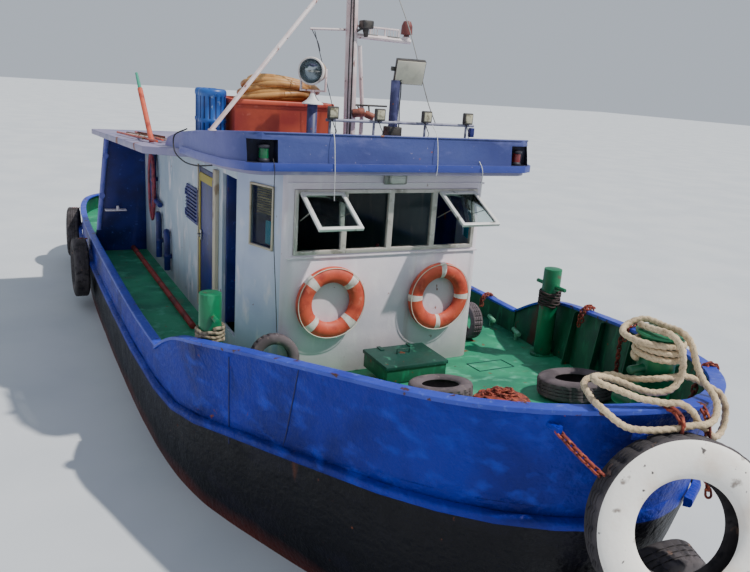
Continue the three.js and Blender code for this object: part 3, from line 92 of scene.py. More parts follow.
# MOORING ROPE
# A three-strand laid rope of 44 mm, soft and sun-bleached, kept on the bow bitt: from its bare end on the
# cap plate down to the rail, two bights over the stem and the starboard bow, up over the cap and round
# the bitt in two and three-quarter turns.
ROPE_RADIUS = 0.022
TURN_RADIUS = 0.134
TURN_TOP = 2.4404
TURN_DROP = 0.045  # from one turn to the next
TURN_STEPS = 24
BITT_X = 6.350
rope_route = [
    (6.262, -.096, 2.515), (6.320, -.098, 2.516), (6.380, -.098, 2.519), (6.440, -.094, 2.526),
    (6.490, -.084, 2.520), (6.528, -.070, 2.494), (6.551, -.054, 2.448), (6.562, -.042, 2.390),
    (6.566, -.036, 2.330), (6.566, -.044, 2.272), (6.562, -.078, 2.226), (6.548, -.130, 2.200),
    (6.512, -.188, 2.188), (6.450, -.234, 2.190), (6.384, -.268, 2.200), (6.328, -.312, 2.212),
    (6.298, -.372, 2.224), (6.300, -.436, 2.236), (6.344, -.486, 2.244), (6.408, -.490, 2.242),
    (6.462, -.446, 2.230), (6.508, -.388, 2.210), (6.552, -.325, 2.188), (6.592, -.264, 2.182),
    (6.634, -.204, 2.178), (6.677, -.146, 2.185), (6.716, -.082, 2.143), (6.724, -.020, 2.066),
    (6.736, .038, 2.022), (6.738, .092, 1.978), (6.730, .148, 1.954), (6.718, .198, 1.964),
    (6.706, .232, 2.004), (6.698, .240, 2.058), (6.684, .238, 2.124), (6.646, .230, 2.175),
    (6.604, .214, 2.192), (6.556, .186, 2.212), (6.510, .140, 2.232), (6.484, .082, 2.244),
    (6.492, .018, 2.250), (6.482, -.050, 2.250), (6.450, -.118, 2.238), (6.392, -.172, 2.222),
    (6.326, -.216, 2.208), (6.258, -.246, 2.204), (6.204, -.290, 2.182), (6.180, -.346, 2.166),
    (6.194, -.402, 2.154), (6.242, -.444, 2.145), (6.308, -.476, 2.138), (6.376, -.508, 2.133),
    (6.440, -.534, 2.138), (6.504, -.532, 2.123), (6.557, -.488, 2.078), (6.592, -.424, 2.042),
    (6.640, -.346, 2.038), (6.682, -.269, 2.046), (6.722, -.187, 2.062), (6.754, -.105, 2.080),
    (6.778, -.030, 2.086), (6.775, .030, 2.098), (6.754, .074, 2.140), (6.722, .100, 2.178),
    (6.682, .114, 2.206), (6.640, .120, 2.228), (6.600, .118, 2.258), (6.572, .102, 2.304),
    (6.558, .080, 2.358), (6.552, .056, 2.412), (6.544, .034, 2.462), (6.524, .016, 2.502),
    (6.486, .006, 2.524), (6.436, .004, 2.530), (6.380, .016, 2.522), (6.320, .028, 2.517),
    (6.260, .030, 2.518), (6.204, .014, 2.518), (6.168, -.022, 2.502), (6.152, -.072, 2.477),
    (6.168, -.124, 2.456), (6.210, -.162, 2.447), (6.266, -.180, 2.446), (6.340, -.184, 2.445),
]


def paint_colour(red, green, blue):
    """A colour as seen, 0 to 255, changed to the linear light that the shader wants."""
    return tuple(((c / 255 + 0.055) / 1.055) ** 2.4 if c > 10.3 else c / 3294.6
                 for c in (red, green, blue)) + (1,)


class Finish:
    """A material laid up in coats: each call adds a coat, a stain or a roughness over what is there."""

    def __init__(self, name, colour, roughness, metallic=0.0):
        self.material = bpy.data.materials.new(name)
        self.material.use_nodes = True
        self.tree = self.material.node_tree
        self.shader = self.tree.nodes["Principled BSDF"]
        self.shader.inputs["Roughness"].default_value = roughness
        self.shader.inputs["Metallic"].default_value = metallic
        self.shader.inputs["Base Color"].default_value = paint_colour(*colour)
        self.roughness = roughness
        self.coat = None
        self.normal = None
        self.place = self.tree.nodes.new("ShaderNodeTexCoord").outputs["Object"]

    def link(self, value, socket):
        """Feeds a socket from another one, or sets it to a plain value."""
        if isinstance(value, bpy.types.NodeSocket):
            self.tree.links.new(value, socket)
        else:
            socket.default_value = value

    def noise(self, scale, detail=4, stretch=(1, 1, 1), shift=0.0, place=None):
        """Patchy value, 0 to 1, that repeats every 1/scale metres; stretch below 1 draws it out."""
        where = self.tree.nodes.new("ShaderNodeMapping")
        where.inputs["Scale"].default_value = stretch
        where.inputs["Location"].default_value = (shift, shift, shift)
        self.link(place or self.place, where.inputs["Vector"])
        spots = self.tree.nodes.new("ShaderNodeTexNoise")
        spots.inputs["Scale"].default_value = scale
        spots.inputs["Detail"].default_value = detail
        self.link(where.outputs["Vector"], spots.inputs["Vector"])
        return spots.outputs["Fac"]

    def along(self, axis):
        """The coordinate along X, Y or Z, in metres."""
        parts = self.tree.nodes.new("ShaderNodeSeparateXYZ")
        self.link(self.place, parts.inputs[0])
        return parts.outputs[axis]

    def sum(self, operation, a, b):
        """The outcome of one sum on two values."""
        step = self.tree.nodes.new("ShaderNodeMath")
        step.operation = operation
        self.link(a, step.inputs[0])
        self.link(b, step.inputs[1])
        return step.outputs[0]

    def share(self, value, low, high):
        """0 up to low, 1 from high, and a slope between."""
        span = self.tree.nodes.new("ShaderNodeMapRange")
        self.link(value, span.inputs["Value"])
        span.inputs["From Min"].default_value = low
        span.inputs["From Max"].default_value = high
        return span.outputs["Result"]

    def lay(self, colour, share):
        """A colour laid over the coats so far, where share is above 0."""
        over = self.tree.nodes.new("ShaderNodeMix")
        over.data_type = "RGBA"
        under = self.coat or tuple(self.shader.inputs["Base Color"].default_value)
        self.link(under, over.inputs["A"])
        self.link(paint_colour(*colour) if isinstance(colour, tuple) else colour, over.inputs["B"])
        self.link(share, over.inputs["Factor"])
        self.coat = over.outputs["Result"]
        self.link(self.coat, self.shader.inputs["Base Color"])

    def stain(self, colour, low, high, scale, detail, **spots):
        """A patchy colour: noise of that scale and detail, bare below low and full above high."""
        self.lay(colour, self.share(self.noise(scale, detail, **spots), low, high))

    def dull(self, share, low, high):
        """Roughness from low to high with share."""
        span = self.tree.nodes.new("ShaderNodeMapRange")
        self.link(share, span.inputs["Value"])
        span.inputs["To Min"].default_value = low
        span.inputs["To Max"].default_value = high
        self.link(span.outputs["Result"], self.shader.inputs["Roughness"])

    def rise(self, height, depth, strength=1.0):
        """Relief of that depth in metres, over the relief so far."""
        relief = self.tree.nodes.new("ShaderNodeBump")
        relief.inputs["Strength"].default_value = strength
        relief.inputs["Distance"].default_value = depth
        self.link(height, relief.inputs["Height"])
        if self.normal:
            self.link(self.normal, relief.inputs["Normal"])
        self.normal = relief.outputs["Normal"]
        self.link(self.normal, self.shader.inputs["Normal"])


def only(*pieces):
    """These pieces alone are selected, and the first one is active."""
    bpy.ops.object.select_all(action="DESELECT")
    for piece in pieces:
        piece.select_set(True)
    bpy.context.view_layer.objects.active = pieces[0]


def smooth_run(points, step):
    """Points a step apart on the smooth curve through these points."""
    points = [Vector(p) for p in points]
    ends = [2 * points[0] - points[1]] + points + [2 * points[-1] - points[-2]]
    fine = []
    for a, b, c, d in zip(ends, ends[1:], ends[2:], ends[3:]):
        t0, t1 = 0.0, math.sqrt((b - a).length)
        t2 = t1 + math.sqrt((c - b).length)
        t3 = t2 + math.sqrt((d - c).length)
        for k in range(24):
            t = t1 + (t2 - t1) * k / 24
            p = ((t1 - t) * a + (t - t0) * b) / (t1 - t0)
            q = ((t2 - t) * b + (t - t1) * c) / (t2 - t1)
            r = ((t3 - t) * c + (t - t2) * d) / (t3 - t2)
            pq = ((t2 - t) * p + (t - t0) * q) / (t2 - t0)
            qr = ((t3 - t) * q + (t - t1) * r) / (t3 - t1)
            fine.append(((t2 - t) * pq + (t - t1) * qr) / (t2 - t1))
    fine.append(points[-1])
    length = sum((b - a).length for a, b in zip(fine, fine[1:]))
    count = max(2, round(length / step))
    spaced, gone, k = [fine[0].copy()], 0.0, 0
    for n in range(1, count):
        goal = length * n / count
        while gone + (fine[k + 1] - fine[k]).length < goal:
            gone += (fine[k + 1] - fine[k]).length
            k += 1
        spaced.append(fine[k].lerp(fine[k + 1], (goal - gone) / (fine[k + 1] - fine[k]).length))
    return spaced + [fine[-1].copy()]


def laid_rope(name, run, radius, lay_length, sides=18, crevice=0.74):
    """A tube of three twisted strands along a run of points, with a UV map that follows the strands."""
    strand = radius / 2.155  # three round strands fit side by side in a rope 2.155 times as thick
    out = 2 * strand / math.sqrt(3)
    step = (run[1] - run[0]).length
    verts, faces, marks = [], [], []
    ahead = (run[1] - run[0]).normalized()
    side = ahead.orthogonal().normalized()
    for k, p in enumerate(run):
        way = (run[min(k + 1, len(run) - 1)] - run[max(k - 1, 0)]).normalized()
        side = (side - way * side.dot(way)).normalized()
        over = way.cross(side)
        twist = 2 * math.pi * k * step / lay_length
        for j in range(sides):
            angle = 2 * math.pi * j / sides
            local = (angle - twist + math.pi / 3) % (2 * math.pi / 3) - math.pi / 3
            reach = out * math.cos(local) + math.sqrt(max(0, strand ** 2 - (out * math.sin(local)) ** 2))
            reach = max(reach, crevice * radius)
            verts.append(p + reach * (math.cos(angle) * side + math.sin(angle) * over))
            marks.append((local * radius, k * step))
    for k in range(len(run) - 1):
        for j in range(sides):
            a, b = k * sides + j, k * sides + (j + 1) % sides
            faces.append((a, b, b + sides, a + sides))
    faces.append(tuple(range(sides - 1, -1, -1)))
    faces.append(tuple((len(run) - 1) * sides + j for j in range(sides)))
    mesh = bpy.data.meshes.new(name)
    mesh.from_pydata(verts, [], faces)
    yarn = mesh.uv_layers.new(name="yarn")
    for corner in mesh.loops:
        yarn.data[corner.index].uv = marks[corner.vertex_index]
    piece = bpy.data.objects.new(name, mesh)
    bpy.context.collection.objects.link(piece)
    only(piece)
    bpy.ops.object.shade_smooth()
    return piece


def rope_fibre(name, colour, dirt):
    """Twisted, frayed fibre: fine yarns along the strands, grey dirt in patches."""
    fibre = Finish(name, colour, 0.95)
    chart = fibre.tree.nodes.new("ShaderNodeUVMap")
    chart.uv_map = "yarn"
    yarns = fibre.noise(900, 2, stretch=(1, 0.12, 1), place=chart.outputs["UV"])
    fibre.stain(dirt, 0.54, 0.78, 7, 5)
    fibre.lay(tuple(int(c * 0.55) for c in colour), fibre.share(yarns, 0.52, 0.75))
    fibre.stain(dirt, 0.60, 0.76, 60, 5)
    across = fibre.tree.nodes.new("ShaderNodeSeparateXYZ")
    fibre.link(chart.outputs["UV"], across.inputs[0])
    crevice_shade = fibre.share(fibre.sum("ABSOLUTE", across.outputs["X"], 0.0), 0.0145, 0.0215)
    fibre.lay((104, 80, 58), fibre.sum("MULTIPLY", crevice_shade, 0.8))
    fibre.rise(yarns, 0.0016)
    fibre.rise(fibre.noise(300, 3), 0.0012)
    fibre.shader.inputs["Sheen Weight"].default_value = 0.15
    return fibre.material


turns = []
for k, reach in enumerate((0.170, 0.156, 0.144, 0.137)):  # closes in on the bitt
    angle = math.radians(15 * k - 78)
    turns.append((BITT_X + reach * math.cos(angle), reach * math.sin(angle), 2.4438 - 0.0011 * k))
for k in range(1, 67):  # two and three-quarter turns down it
    angle = math.radians(15 * k - 18)
    turns.append((BITT_X + TURN_RADIUS * math.cos(angle), TURN_RADIUS * math.sin(angle),
                  TURN_TOP - TURN_DROP * k / TURN_STEPS))
rope_run = smooth_run(rope_route + turns, 0.0125)
mooring_rope = laid_rope("bow_rope", rope_run, ROPE_RADIUS, 0.125, crevice=0.80)
mooring_rope.data.materials.append(rope_fibre("rope_fibre", (226, 202, 164), (140, 112, 82)))
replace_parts(mooring_rope, "mooring_rope", "rope_turns")
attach(mooring_rope, "boat")


# FLOOR AND LIGHT
# A plain pale floor at the waterline, a high sun from ahead and to port, and a soft sky.
bpy.ops.mesh.primitive_plane_add(size=300)
floor = bpy.context.object
floor.name = "floor"
pale = Finish("floor_pale", (206, 210, 214), 0.85)
pale.stain((198, 203, 208), 0.4, 0.6, 0.6, 4)
floor.data.materials.append(pale.material)
bpy.ops.object.light_add(type="SUN")
sun = bpy.context.object
sun.name = "sun"
sun.data.energy = 4.3
sun.data.angle = math.radians(1.5)
sun.data.color = (1.0, 0.965, 0.91)
sun.rotation_euler = Vector((0.5, 0.55, 1.0)).to_track_quat("Z", "Y").to_euler()
sky = bpy.data.worlds.new("soft_sky")
bpy.context.scene.world = sky
sky.use_nodes = True
sky.node_tree.nodes["Background"].inputs["Color"].default_value = (0.80, 0.88, 1.0, 1)
sky.node_tree.nodes["Background"].inputs["Strength"].default_value = 0.62


# HULL
# Welded steel plating, its dents and brush marks under many coats: cobalt above the strake, near black
# below it, with worn red-brown at the waterline. The plating is one smooth skin over the solid hull.
COBALT = (14, 34, 150)
DEEP_BLUE = (8, 18, 98)
BOOT_BLACK = (4, 4, 13)
BOOT_RED = (92, 40, 34)
RUST = (124, 62, 36)
RUST_DARK = (74, 40, 30)
SLOPE_START, DECK_SLOPE = 2.9, 0.155  # deck, strake and boot top rise forward of here
BOOT_TOP, DECK_LEVEL = 0.74, 0.9  # their heights aft of there


def copy_of(cad_name, piece_name):
    """A merged copy of a CAD node, to model on, which takes the node's place."""
    piece = bpy.data.objects.new(piece_name, node[cad_name].data.copy())
    bpy.context.collection.objects.link(piece)
    piece.data.materials.clear()
    only(piece)
    bpy.ops.mesh.customdata_custom_splitnormals_clear()
    bpy.ops.object.mode_set(mode="EDIT")
    bpy.ops.mesh.select_all(action="SELECT")
    bpy.ops.mesh.remove_doubles(threshold=0.00015)
    bpy.ops.mesh.tris_convert_to_quads(face_threshold=math.radians(40), shape_threshold=math.radians(60))
    bpy.ops.object.mode_set(mode="OBJECT")
    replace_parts(piece, cad_name)
    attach(piece, node[cad_name]["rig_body"])
    return piece


def apply(piece, kind, **settings):
    """One modifier, set and applied."""
    only(piece)
    change = piece.modifiers.new(kind.lower(), kind)
    for key, value in settings.items():
        setattr(change, key, value)
    bpy.ops.object.modifier_apply(modifier=change.name)


def smooth_skin(piece, levels, crease_over=28):
    """Subdivides a copied plate into a smooth skin, keeping its sharp edges."""
    shape = bmesh.new()
    shape.from_mesh(piece.data)
    crease = shape.edges.layers.float.get("crease_edge") or shape.edges.layers.float.new("crease_edge")
    for edge in shape.edges:
        if len(edge.link_faces) != 2 or edge.calc_face_angle(0) > math.radians(crease_over):
            edge[crease] = 1.0
    shape.to_mesh(piece.data)
    shape.free()
    apply(piece, "SUBSURF", levels=levels, render_levels=levels)


def dent(piece, size, depth):
    """Uneven plating: soft dents of that size and depth."""
    bumps = bpy.data.textures.new(piece.name + "_dents", "CLOUDS")
    bumps.noise_scale = size
    bumps.noise_depth = 2
    apply(piece, "DISPLACE", texture=bumps, texture_coords="LOCAL", strength=depth, mid_level=0.5)


def rounded_look(piece, degrees=35):
    """Smooth shading, broken at edges sharper than that."""
    only(piece)
    bpy.ops.object.shade_smooth_by_angle(angle=math.radians(degrees))


def hull_finish(name, with_bottom):
    """Thick brushed marine paint with runs, scuffs and rust, on Object coordinates."""
    coat = Finish(name, COBALT, 0.42)
    brush = coat.noise(9, 5, stretch=(0.35, 1, 1))
    coat.stain(DEEP_BLUE, 0.42, 0.68, 1.4, 5)
    coat.lay((30, 58, 184), coat.share(brush, 0.52, 0.78))
    coat.stain((8, 16, 78), 0.60, 0.74, 3.2, 6, stretch=(1, 1, 0.30))
    if with_bottom:
        past = coat.sum("MAXIMUM", coat.sum("SUBTRACT", coat.along("X"), SLOPE_START), 0.0)
        edge = coat.sum("ADD", coat.sum("MULTIPLY", past, DECK_SLOPE), BOOT_TOP)
        edge = coat.sum("ADD", edge, coat.sum("MULTIPLY", coat.noise(2.0, 4), 0.03))
        below = coat.share(coat.sum("SUBTRACT", edge, coat.along("Z")), 0.0, 0.012)
        coat.lay(BOOT_BLACK, below)
        scuffed = coat.sum("MULTIPLY", below,
                           coat.share(coat.noise(1.8, 6, stretch=(0.5, 1, 1.4)), 0.5, 0.62))
        coat.lay((13, 12, 27), scuffed)
        low = coat.sum("ADD", coat.along("Z"), coat.sum("MULTIPLY", coat.noise(1.6, 5), 0.25))
        coat.lay(BOOT_RED, coat.share(low, 0.30, 0.12))
        weed = coat.sum("MULTIPLY", coat.share(low, 0.16, 0.04),
                        coat.share(coat.noise(3.4, 6, shift=5), 0.46, 0.66))
        coat.lay((52, 58, 40), weed)
    coat.stain(RUST_DARK, 0.72, 0.75, 2.6, 8, stretch=(1, 1, 0.22), shift=3)
    coat.stain(RUST, 0.72, 0.75, 11, 8, shift=7)
    coat.dull(coat.noise(6, 5), 0.32, 0.62)
    coat.shader.inputs["Specular IOR Level"].default_value = 0.2
    coat.rise(coat.noise(5, 4, stretch=(0.7, 1, 1)), 0.030, 0.9)
    coat.rise(brush, 0.014, 0.8)
    coat.rise(coat.noise(24, 5), 0.016, 0.9)
    coat.rise(coat.noise(70, 5), 0.0015, 0.7)
    return coat.material


hull = copy_of("hull", "hull_plating")
smooth_skin(hull, 3)
dent(hull, 0.45, 0.012)
rounded_look(hull)
hull.data.materials.append(hull_finish("hull_paint", True))


# BULWARKS
# The hull's plating carried up round the bow and, lower, along both sides and the stern: blue outside,
# dark green inside, with plate stiffeners welded to the inner face at the bow.
def bulwark_green():
    """Old green paint on the plates inside the bulwark and on the gear fixed to them."""
    green = Finish("bulwark_green", (8, 86, 58), 0.5)
    green.stain((4, 58, 46), 0.45, 0.65, 2.2, 5)
    green.stain((24, 120, 84), 0.56, 0.74, 14, 5, stretch=(1, 1, 0.3))
    green.stain(RUST_DARK, 0.64, 0.68, 4, 8, stretch=(1, 1, 0.3), shift=2)
    green.stain(RUST, 0.68, 0.72, 16, 8, shift=5)
    green.dull(green.noise(7, 4), 0.35, 0.7)
    green.rise(green.noise(8, 4), 0.006, 0.8)
    green.rise(green.noise(70, 4), 0.0012, 0.6)
    return green.material


side_blue = hull_finish("side_paint", False)
inner_green = bulwark_green()
for cad_name, piece_name, levels in (("bow_bulwark", "bow_plating", 3), ("aft_bulwark", "aft_plating", 2)):
    bulwark = copy_of(cad_name, piece_name)
    bulwark.data.materials.append(side_blue)
    bulwark.data.materials.append(inner_green)
    for face in bulwark.data.polygons:
        middle = Vector((max(-4.5, min(2.6, face.center.x)), 0, face.center.z))
        outward = (face.center - middle).normalized()
        stiffener = abs(face.normal.x) > 0.97 and face.center.x < 6.3
        if face.normal.dot(outward) < 0.3 or stiffener:
            face.material_index = 1
    smooth_skin(bulwark, levels)
    dent(bulwark, 0.4, 0.010)
    rounded_look(bulwark)


# CAP RAILS
# Flat bar welded along the top of the bulwarks, its edges rounded by wear and thick blue paint.
def rail_finish():
    """Blue deck paint with lighter specks of painted highlight, and dark with rust in spots."""
    rail = Finish("rail_blue", (48, 70, 184), 0.4)
    rail.stain((30, 52, 168), 0.45, 0.6, 3, 5)
    # Lighter specks over the blue: painted highlight.
    rail.stain((88, 108, 198), 0.60, 0.72, 22, 6)
    rail.stain(RUST_DARK, 0.64, 0.67, 9, 8, shift=4)
    rail.dull(rail.noise(10, 4), 0.3, 0.6)
    rail.rise(rail.noise(26, 5), 0.004, 0.8)
    return rail.material


rail_blue = rail_finish()
for cad_name, piece_name, levels in (("bow_cap_rail", "bow_rail", 3), ("aft_cap_rail", "aft_rail", 2)):
    rail = copy_of(cad_name, piece_name)
    smooth_skin(rail, levels, 50)
    apply(rail, "BEVEL", width=0.009, segments=2, limit_method="ANGLE", angle_limit=math.radians(50))
    dent(rail, 0.12, 0.005)
    rounded_look(rail)
    rail.data.materials.append(rail_blue)


# DECK PLATES
# Steel deck under worn green paint, with rust coming through where it is walked on.
deck = Finish("deck_green", (40, 150, 108), 0.6)
deck.stain((26, 118, 88), 0.42, 0.62, 1.7, 6)
deck.stain((84, 176, 140), 0.56, 0.72, 6, 6)
deck.stain((104, 122, 92), 0.62, 0.80, 3.1, 7, shift=2)
deck.stain(RUST, 0.69, 0.73, 7, 9, shift=9)
deck.stain(RUST_DARK, 0.70, 0.74, 14, 9, shift=6)
deck.dull(deck.noise(5, 5), 0.35, 0.8)
deck.rise(deck.noise(6, 4), 0.005, 0.8)
deck.rise(deck.noise(90, 4), 0.001, 0.6)


def painted(cad_name, material):
    """A CAD node that keeps its own mesh and takes this finish."""
    node[cad_name].data.materials.clear()
    node[cad_name].data.materials.append(material)


for cad_name in ("deck_plate", "foredeck_plate"):
    painted(cad_name, deck.material)


# KEEL, RUDDER AND PROPELLER
# Bar keel and skeg under old red-brown antifouling, a plate rudder on its stock and a cast bronze screw.
def eased(cad_name, piece_name, material, width=0.005, degrees=35):
    """A copy of a CAD node with its edges eased by paint and wear."""
    piece = copy_of(cad_name, piece_name)
    apply(piece, "BEVEL", width=width, segments=2, limit_method="ANGLE", angle_limit=math.radians(degrees))
    rounded_look(piece, degrees)
    piece.data.materials.append(material)
    return piece


bottom = Finish("antifouling", (78, 34, 30), 0.75)
bottom.stain((44, 26, 26), 0.45, 0.65, 2, 6)
bottom.stain((66, 84, 52), 0.58, 0.72, 5, 7, shift=2)
bottom.rise(bottom.noise(12, 5), 0.006, 0.8)
eased("keel_skeg", "bar_keel", bottom.material, 0.012)
eased("rudder", "rudder_plate", bottom.material, 0.012)
cast = Finish("cast_bronze", (150, 122, 70), 0.38, 0.85)
cast.stain((80, 110, 84), 0.5, 0.7, 9, 6)
cast.rise(cast.noise(30, 3), 0.002)
eased("propeller", "screw", cast.material, 0.006)


# HOUSE WALLS
# Welded steel sheet under many coats of off-white, lilac in the light, with rust weeping from the seams.
def faced_out(piece):
    """Turns every face of a piece outwards."""
    only(piece)
    bpy.ops.object.mode_set(mode="EDIT")
    bpy.ops.mesh.select_all(action="SELECT")
    bpy.ops.mesh.normals_make_consistent(inside=False)
    bpy.ops.object.mode_set(mode="OBJECT")


def house_finish(name, colour, shade):
    """House paint of that colour with darker patches, rust weeps and a grey-brown darkening towards the
    deck.
    """
    coat = Finish(name, colour, 0.48)
    coat.stain(shade, 0.44, 0.66, 1.5, 5)
    coat.stain((236, 230, 234), 0.56, 0.74, 7, 5, stretch=(1, 1, 0.4))
    weep = coat.sum("MULTIPLY", coat.share(coat.noise(5, 6, stretch=(1, 1, 0.10), shift=4), 0.60, 0.72),
                    coat.share(coat.noise(1.1, 3, shift=6), 0.46, 0.62))
    coat.lay((160, 112, 84), coat.sum("MULTIPLY", weep, 0.55))
    coat.stain(RUST, 0.70, 0.73, 9, 9, shift=8)
    # Grey-brown laid on more strongly from 1.3 m down to the deck.
    coat.lay((120, 112, 104), coat.sum("MULTIPLY", coat.share(coat.along("Z"), 1.30, 0.95), 0.5))
    coat.dull(coat.noise(8, 4), 0.32, 0.62)
    coat.rise(coat.noise(3.5, 4), 0.010, 0.7)
    coat.rise(coat.noise(60, 4), 0.0010, 0.6)
    return coat.material


def block(low, high, material, ease=0.003):
    """A block or plate between two corners, its edges eased."""
    bpy.ops.mesh.primitive_cube_add(size=1)
    piece = bpy.context.object
    piece.location = (Vector(low) + Vector(high)) / 2
    piece.scale = Vector(high) - Vector(low)
    bpy.ops.object.transform_apply(location=True, rotation=True, scale=True)
    apply(piece, "BEVEL", width=ease, segments=2, limit_method="ANGLE", angle_limit=math.radians(40))
    rounded_look(piece, 40)
    piece.data.materials.append(material)
    return piece


def bar(start, end, radius, material, end_radius=None, sides=16, ease=0.0):
    """A round bar, tapered if its ends differ."""
    start, end = Vector(start), Vector(end)
    bpy.ops.mesh.primitive_cone_add(vertices=sides, radius1=radius, depth=(end - start).length,
                                    radius2=radius if end_radius is None else end_radius)
    piece = bpy.context.object
    piece.rotation_euler = (end - start).to_track_quat("Z", "Y").to_euler()
    piece.location = (start + end) / 2
    bpy.ops.object.transform_apply(location=True, rotation=True, scale=True)
    if ease:
        apply(piece, "BEVEL", width=ease, segments=2, limit_method="ANGLE", angle_limit=math.radians(40))
    rounded_look(piece, 40)
    piece.data.materials.append(material)
    return piece


def tube(points, radius, material, curved=True, sides=8):
    """A pipe, hose or wire along these points."""
    run = smooth_run(points, max(0.012, radius * 2)) if curved else [Vector(p) for p in points]
    line = bpy.data.curves.new("tube", "CURVE")
    line.dimensions = "3D"
    line.bevel_depth = radius
    line.bevel_resolution = max(0, sides // 2 - 2)
    line.use_fill_caps = True
    spline = line.splines.new("POLY")
    spline.points.add(len(run) - 1)
    for point, place in zip(spline.points, run):
        point.co = (*place, 1)
    piece = bpy.data.objects.new("tube", line)
    bpy.context.collection.objects.link(piece)
    only(piece)
    bpy.ops.object.convert(target="MESH")
    piece = bpy.context.object
    rounded_look(piece, 50)
    piece.data.materials.append(material)
    return piece


def fitted(name, body, slot, *pieces):
    """Joins finished pieces into one of this name, which rides on a body."""
    only(*pieces)
    if len(pieces) > 1:
        bpy.ops.object.join()
    piece = bpy.context.object
    piece.name = name
    bpy.ops.object.transform_apply(location=True, rotation=True, scale=True)
    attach(piece, body)
    return piece


front_paint = house_finish("house_front_paint", (228, 218, 226), (208, 200, 214))
# The side and aft walls take a bluer, darker grey copy of the house paint: painted shade.
side_paint = house_finish("house_side_shaded_paint", (182, 196, 208), (160, 180, 198))
front_wall = eased("house_front", "front_wall", front_paint, 0.003)
# The bent corner panels take a bluer copy of the front paint: painted shade.
corner_shaded_paint = house_finish("house_corner_shaded_paint", (198, 206, 226), (176, 188, 214))
front_wall.data.materials.append(corner_shaded_paint)
for face in front_wall.data.polygons:
    if abs(face.normal.y) > 0.2 and abs(face.center.y) > 1.12:
        face.material_index = 1
# Painted shade: the side and aft walls get the bluer grey copy of the house paint.
for cad_name in ("house_side_stbd", "house_side_port", "house_aft"):
    painted(cad_name, side_paint)
fitted("wall_strips", "boat", "house_paint",
       block((2.900, -1.10, 2.845), (2.913, 1.10, 2.862), front_paint),
       block((2.900, -1.09, 2.128), (2.916, 1.09, 2.146), front_paint))
lamp_glass = Finish("lamp_glass", (196, 198, 190), 0.12)
lamp_glass.rise(lamp_glass.noise(160, 1), 0.002)
grey_metal = Finish("grey_metal", (142, 142, 138), 0.45, 0.4)
grey_metal.stain((112, 108, 100), 0.5, 0.7, 14, 5)
fitted("bulkhead_lamp", "boat", "lamp_housing",
       block((2.902, -0.110, 2.842), (2.938, 0.150, 2.962), grey_metal.material, 0.018),
       block((2.930, -0.066, 2.856), (2.990, 0.106, 2.948), lamp_glass.material, 0.028))


# STARBOARD SIDE FITTINGS
# Welded and clipped to the house side: a louvred vent, door posts, pipes with elbows and coiled hoses.
navy = Finish("door_navy", (27, 34, 116), 0.4)
navy.stain((18, 24, 84), 0.45, 0.62, 2.4, 5)
navy.stain((58, 70, 150), 0.64, 0.72, 18, 7)
navy.stain(RUST, 0.69, 0.72, 8, 9, shift=5)
navy.rise(navy.noise(9, 4), 0.005, 0.8)
beige = Finish("post_beige", (196, 184, 160), 0.55)
beige.stain((150, 130, 104), 0.55, 0.68, 6, 7)
ochre = Finish("ochre_paint", (176, 160, 66), 0.6)
vent = [block((0.06, -1.372, 2.00), (0.62, -1.351, 2.43), navy.material)]
for k in range(9):
    z = 2.035 + 0.044 * k
    vent.append(block((0.10, -1.392, z), (0.58, -1.366, z + 0.012), navy.material, 0.002))
for z in (2.08, 2.33):
    vent.append(bar((0.055, -1.375, z - 0.04), (0.055, -1.375, z + 0.04), 0.014, navy.material))
fitted("side_vent", "boat", "door_paint", *vent)
fitted("door_posts", "boat", "house_paint",
       block((1.395, -1.392, 0.96), (1.505, -1.351, 2.78), beige.material),
       block((1.352, -1.368, 0.96), (1.372, -1.351, 2.76), beige.material),
       block((0.60, -1.364, 1.02), (0.632, -1.351, 2.74), beige.material))
hose_red = Finish("hose_red", (150, 44, 66), 0.5)
hose_red.stain((96, 26, 40), 0.45, 0.6, 11, 4)
dark_pipe = [
    tube([(-1.88, -1.40, 2.62), (-1.88, -1.40, 1.98), (-1.86, -1.40, 1.92), (-1.80, -1.40, 1.90),
          (-1.45, -1.40, 1.88)], 0.038, navy.material),
    tube([(-1.62, -1.40, 1.72), (-1.56, -1.41, 1.74), (-1.52, -1.41, 1.70), (-1.51, -1.41, 1.62),
          (-1.51, -1.41, 1.10)], 0.044, navy.material),
    tube([(-1.05, -1.40, 1.56), (-1.00, -1.41, 1.60), (-0.95, -1.41, 1.58), (-0.93, -1.41, 1.50),
          (-0.93, -1.41, 1.05)], 0.044, navy.material),
]
for x, z in ((-1.88, 2.2), (-1.51, 1.35), (-0.93, 1.25)):
    dark_pipe.append(bar((x, -1.40, z - 0.03), (x, -1.40, z + 0.03), 0.056, navy.material, ease=0.004))
fitted("side_pipes", "boat", "door_paint", *dark_pipe)
hang = []
for turn, (reach, drop) in enumerate(((0.10, 0.86), (0.13, 0.98), (0.085, 0.78), (0.15, 1.04))):
    y, top, shift = -1.40 - 0.022 * (turn % 2), 2.62, 0.03 * turn - 0.04
    x = -1.98 + shift
    loop = [(x, y, top), (x - reach, y, top - 0.25 * drop), (x - reach, y, top - 0.8 * drop),
            (x, y, top - drop), (x + reach, y, top - 0.8 * drop), (x + reach, y, top - 0.25 * drop),
            (x + 0.01, y, top)]
    hang.append(tube(loop, 0.021, hose_red.material if turn % 2 else navy.material))
hang.append(bar((-1.98, -1.351, 2.63), (-1.98, -1.47, 2.66), 0.012, grey_metal.material))
fitted("side_hoses", "boat", "door_paint", *hang)


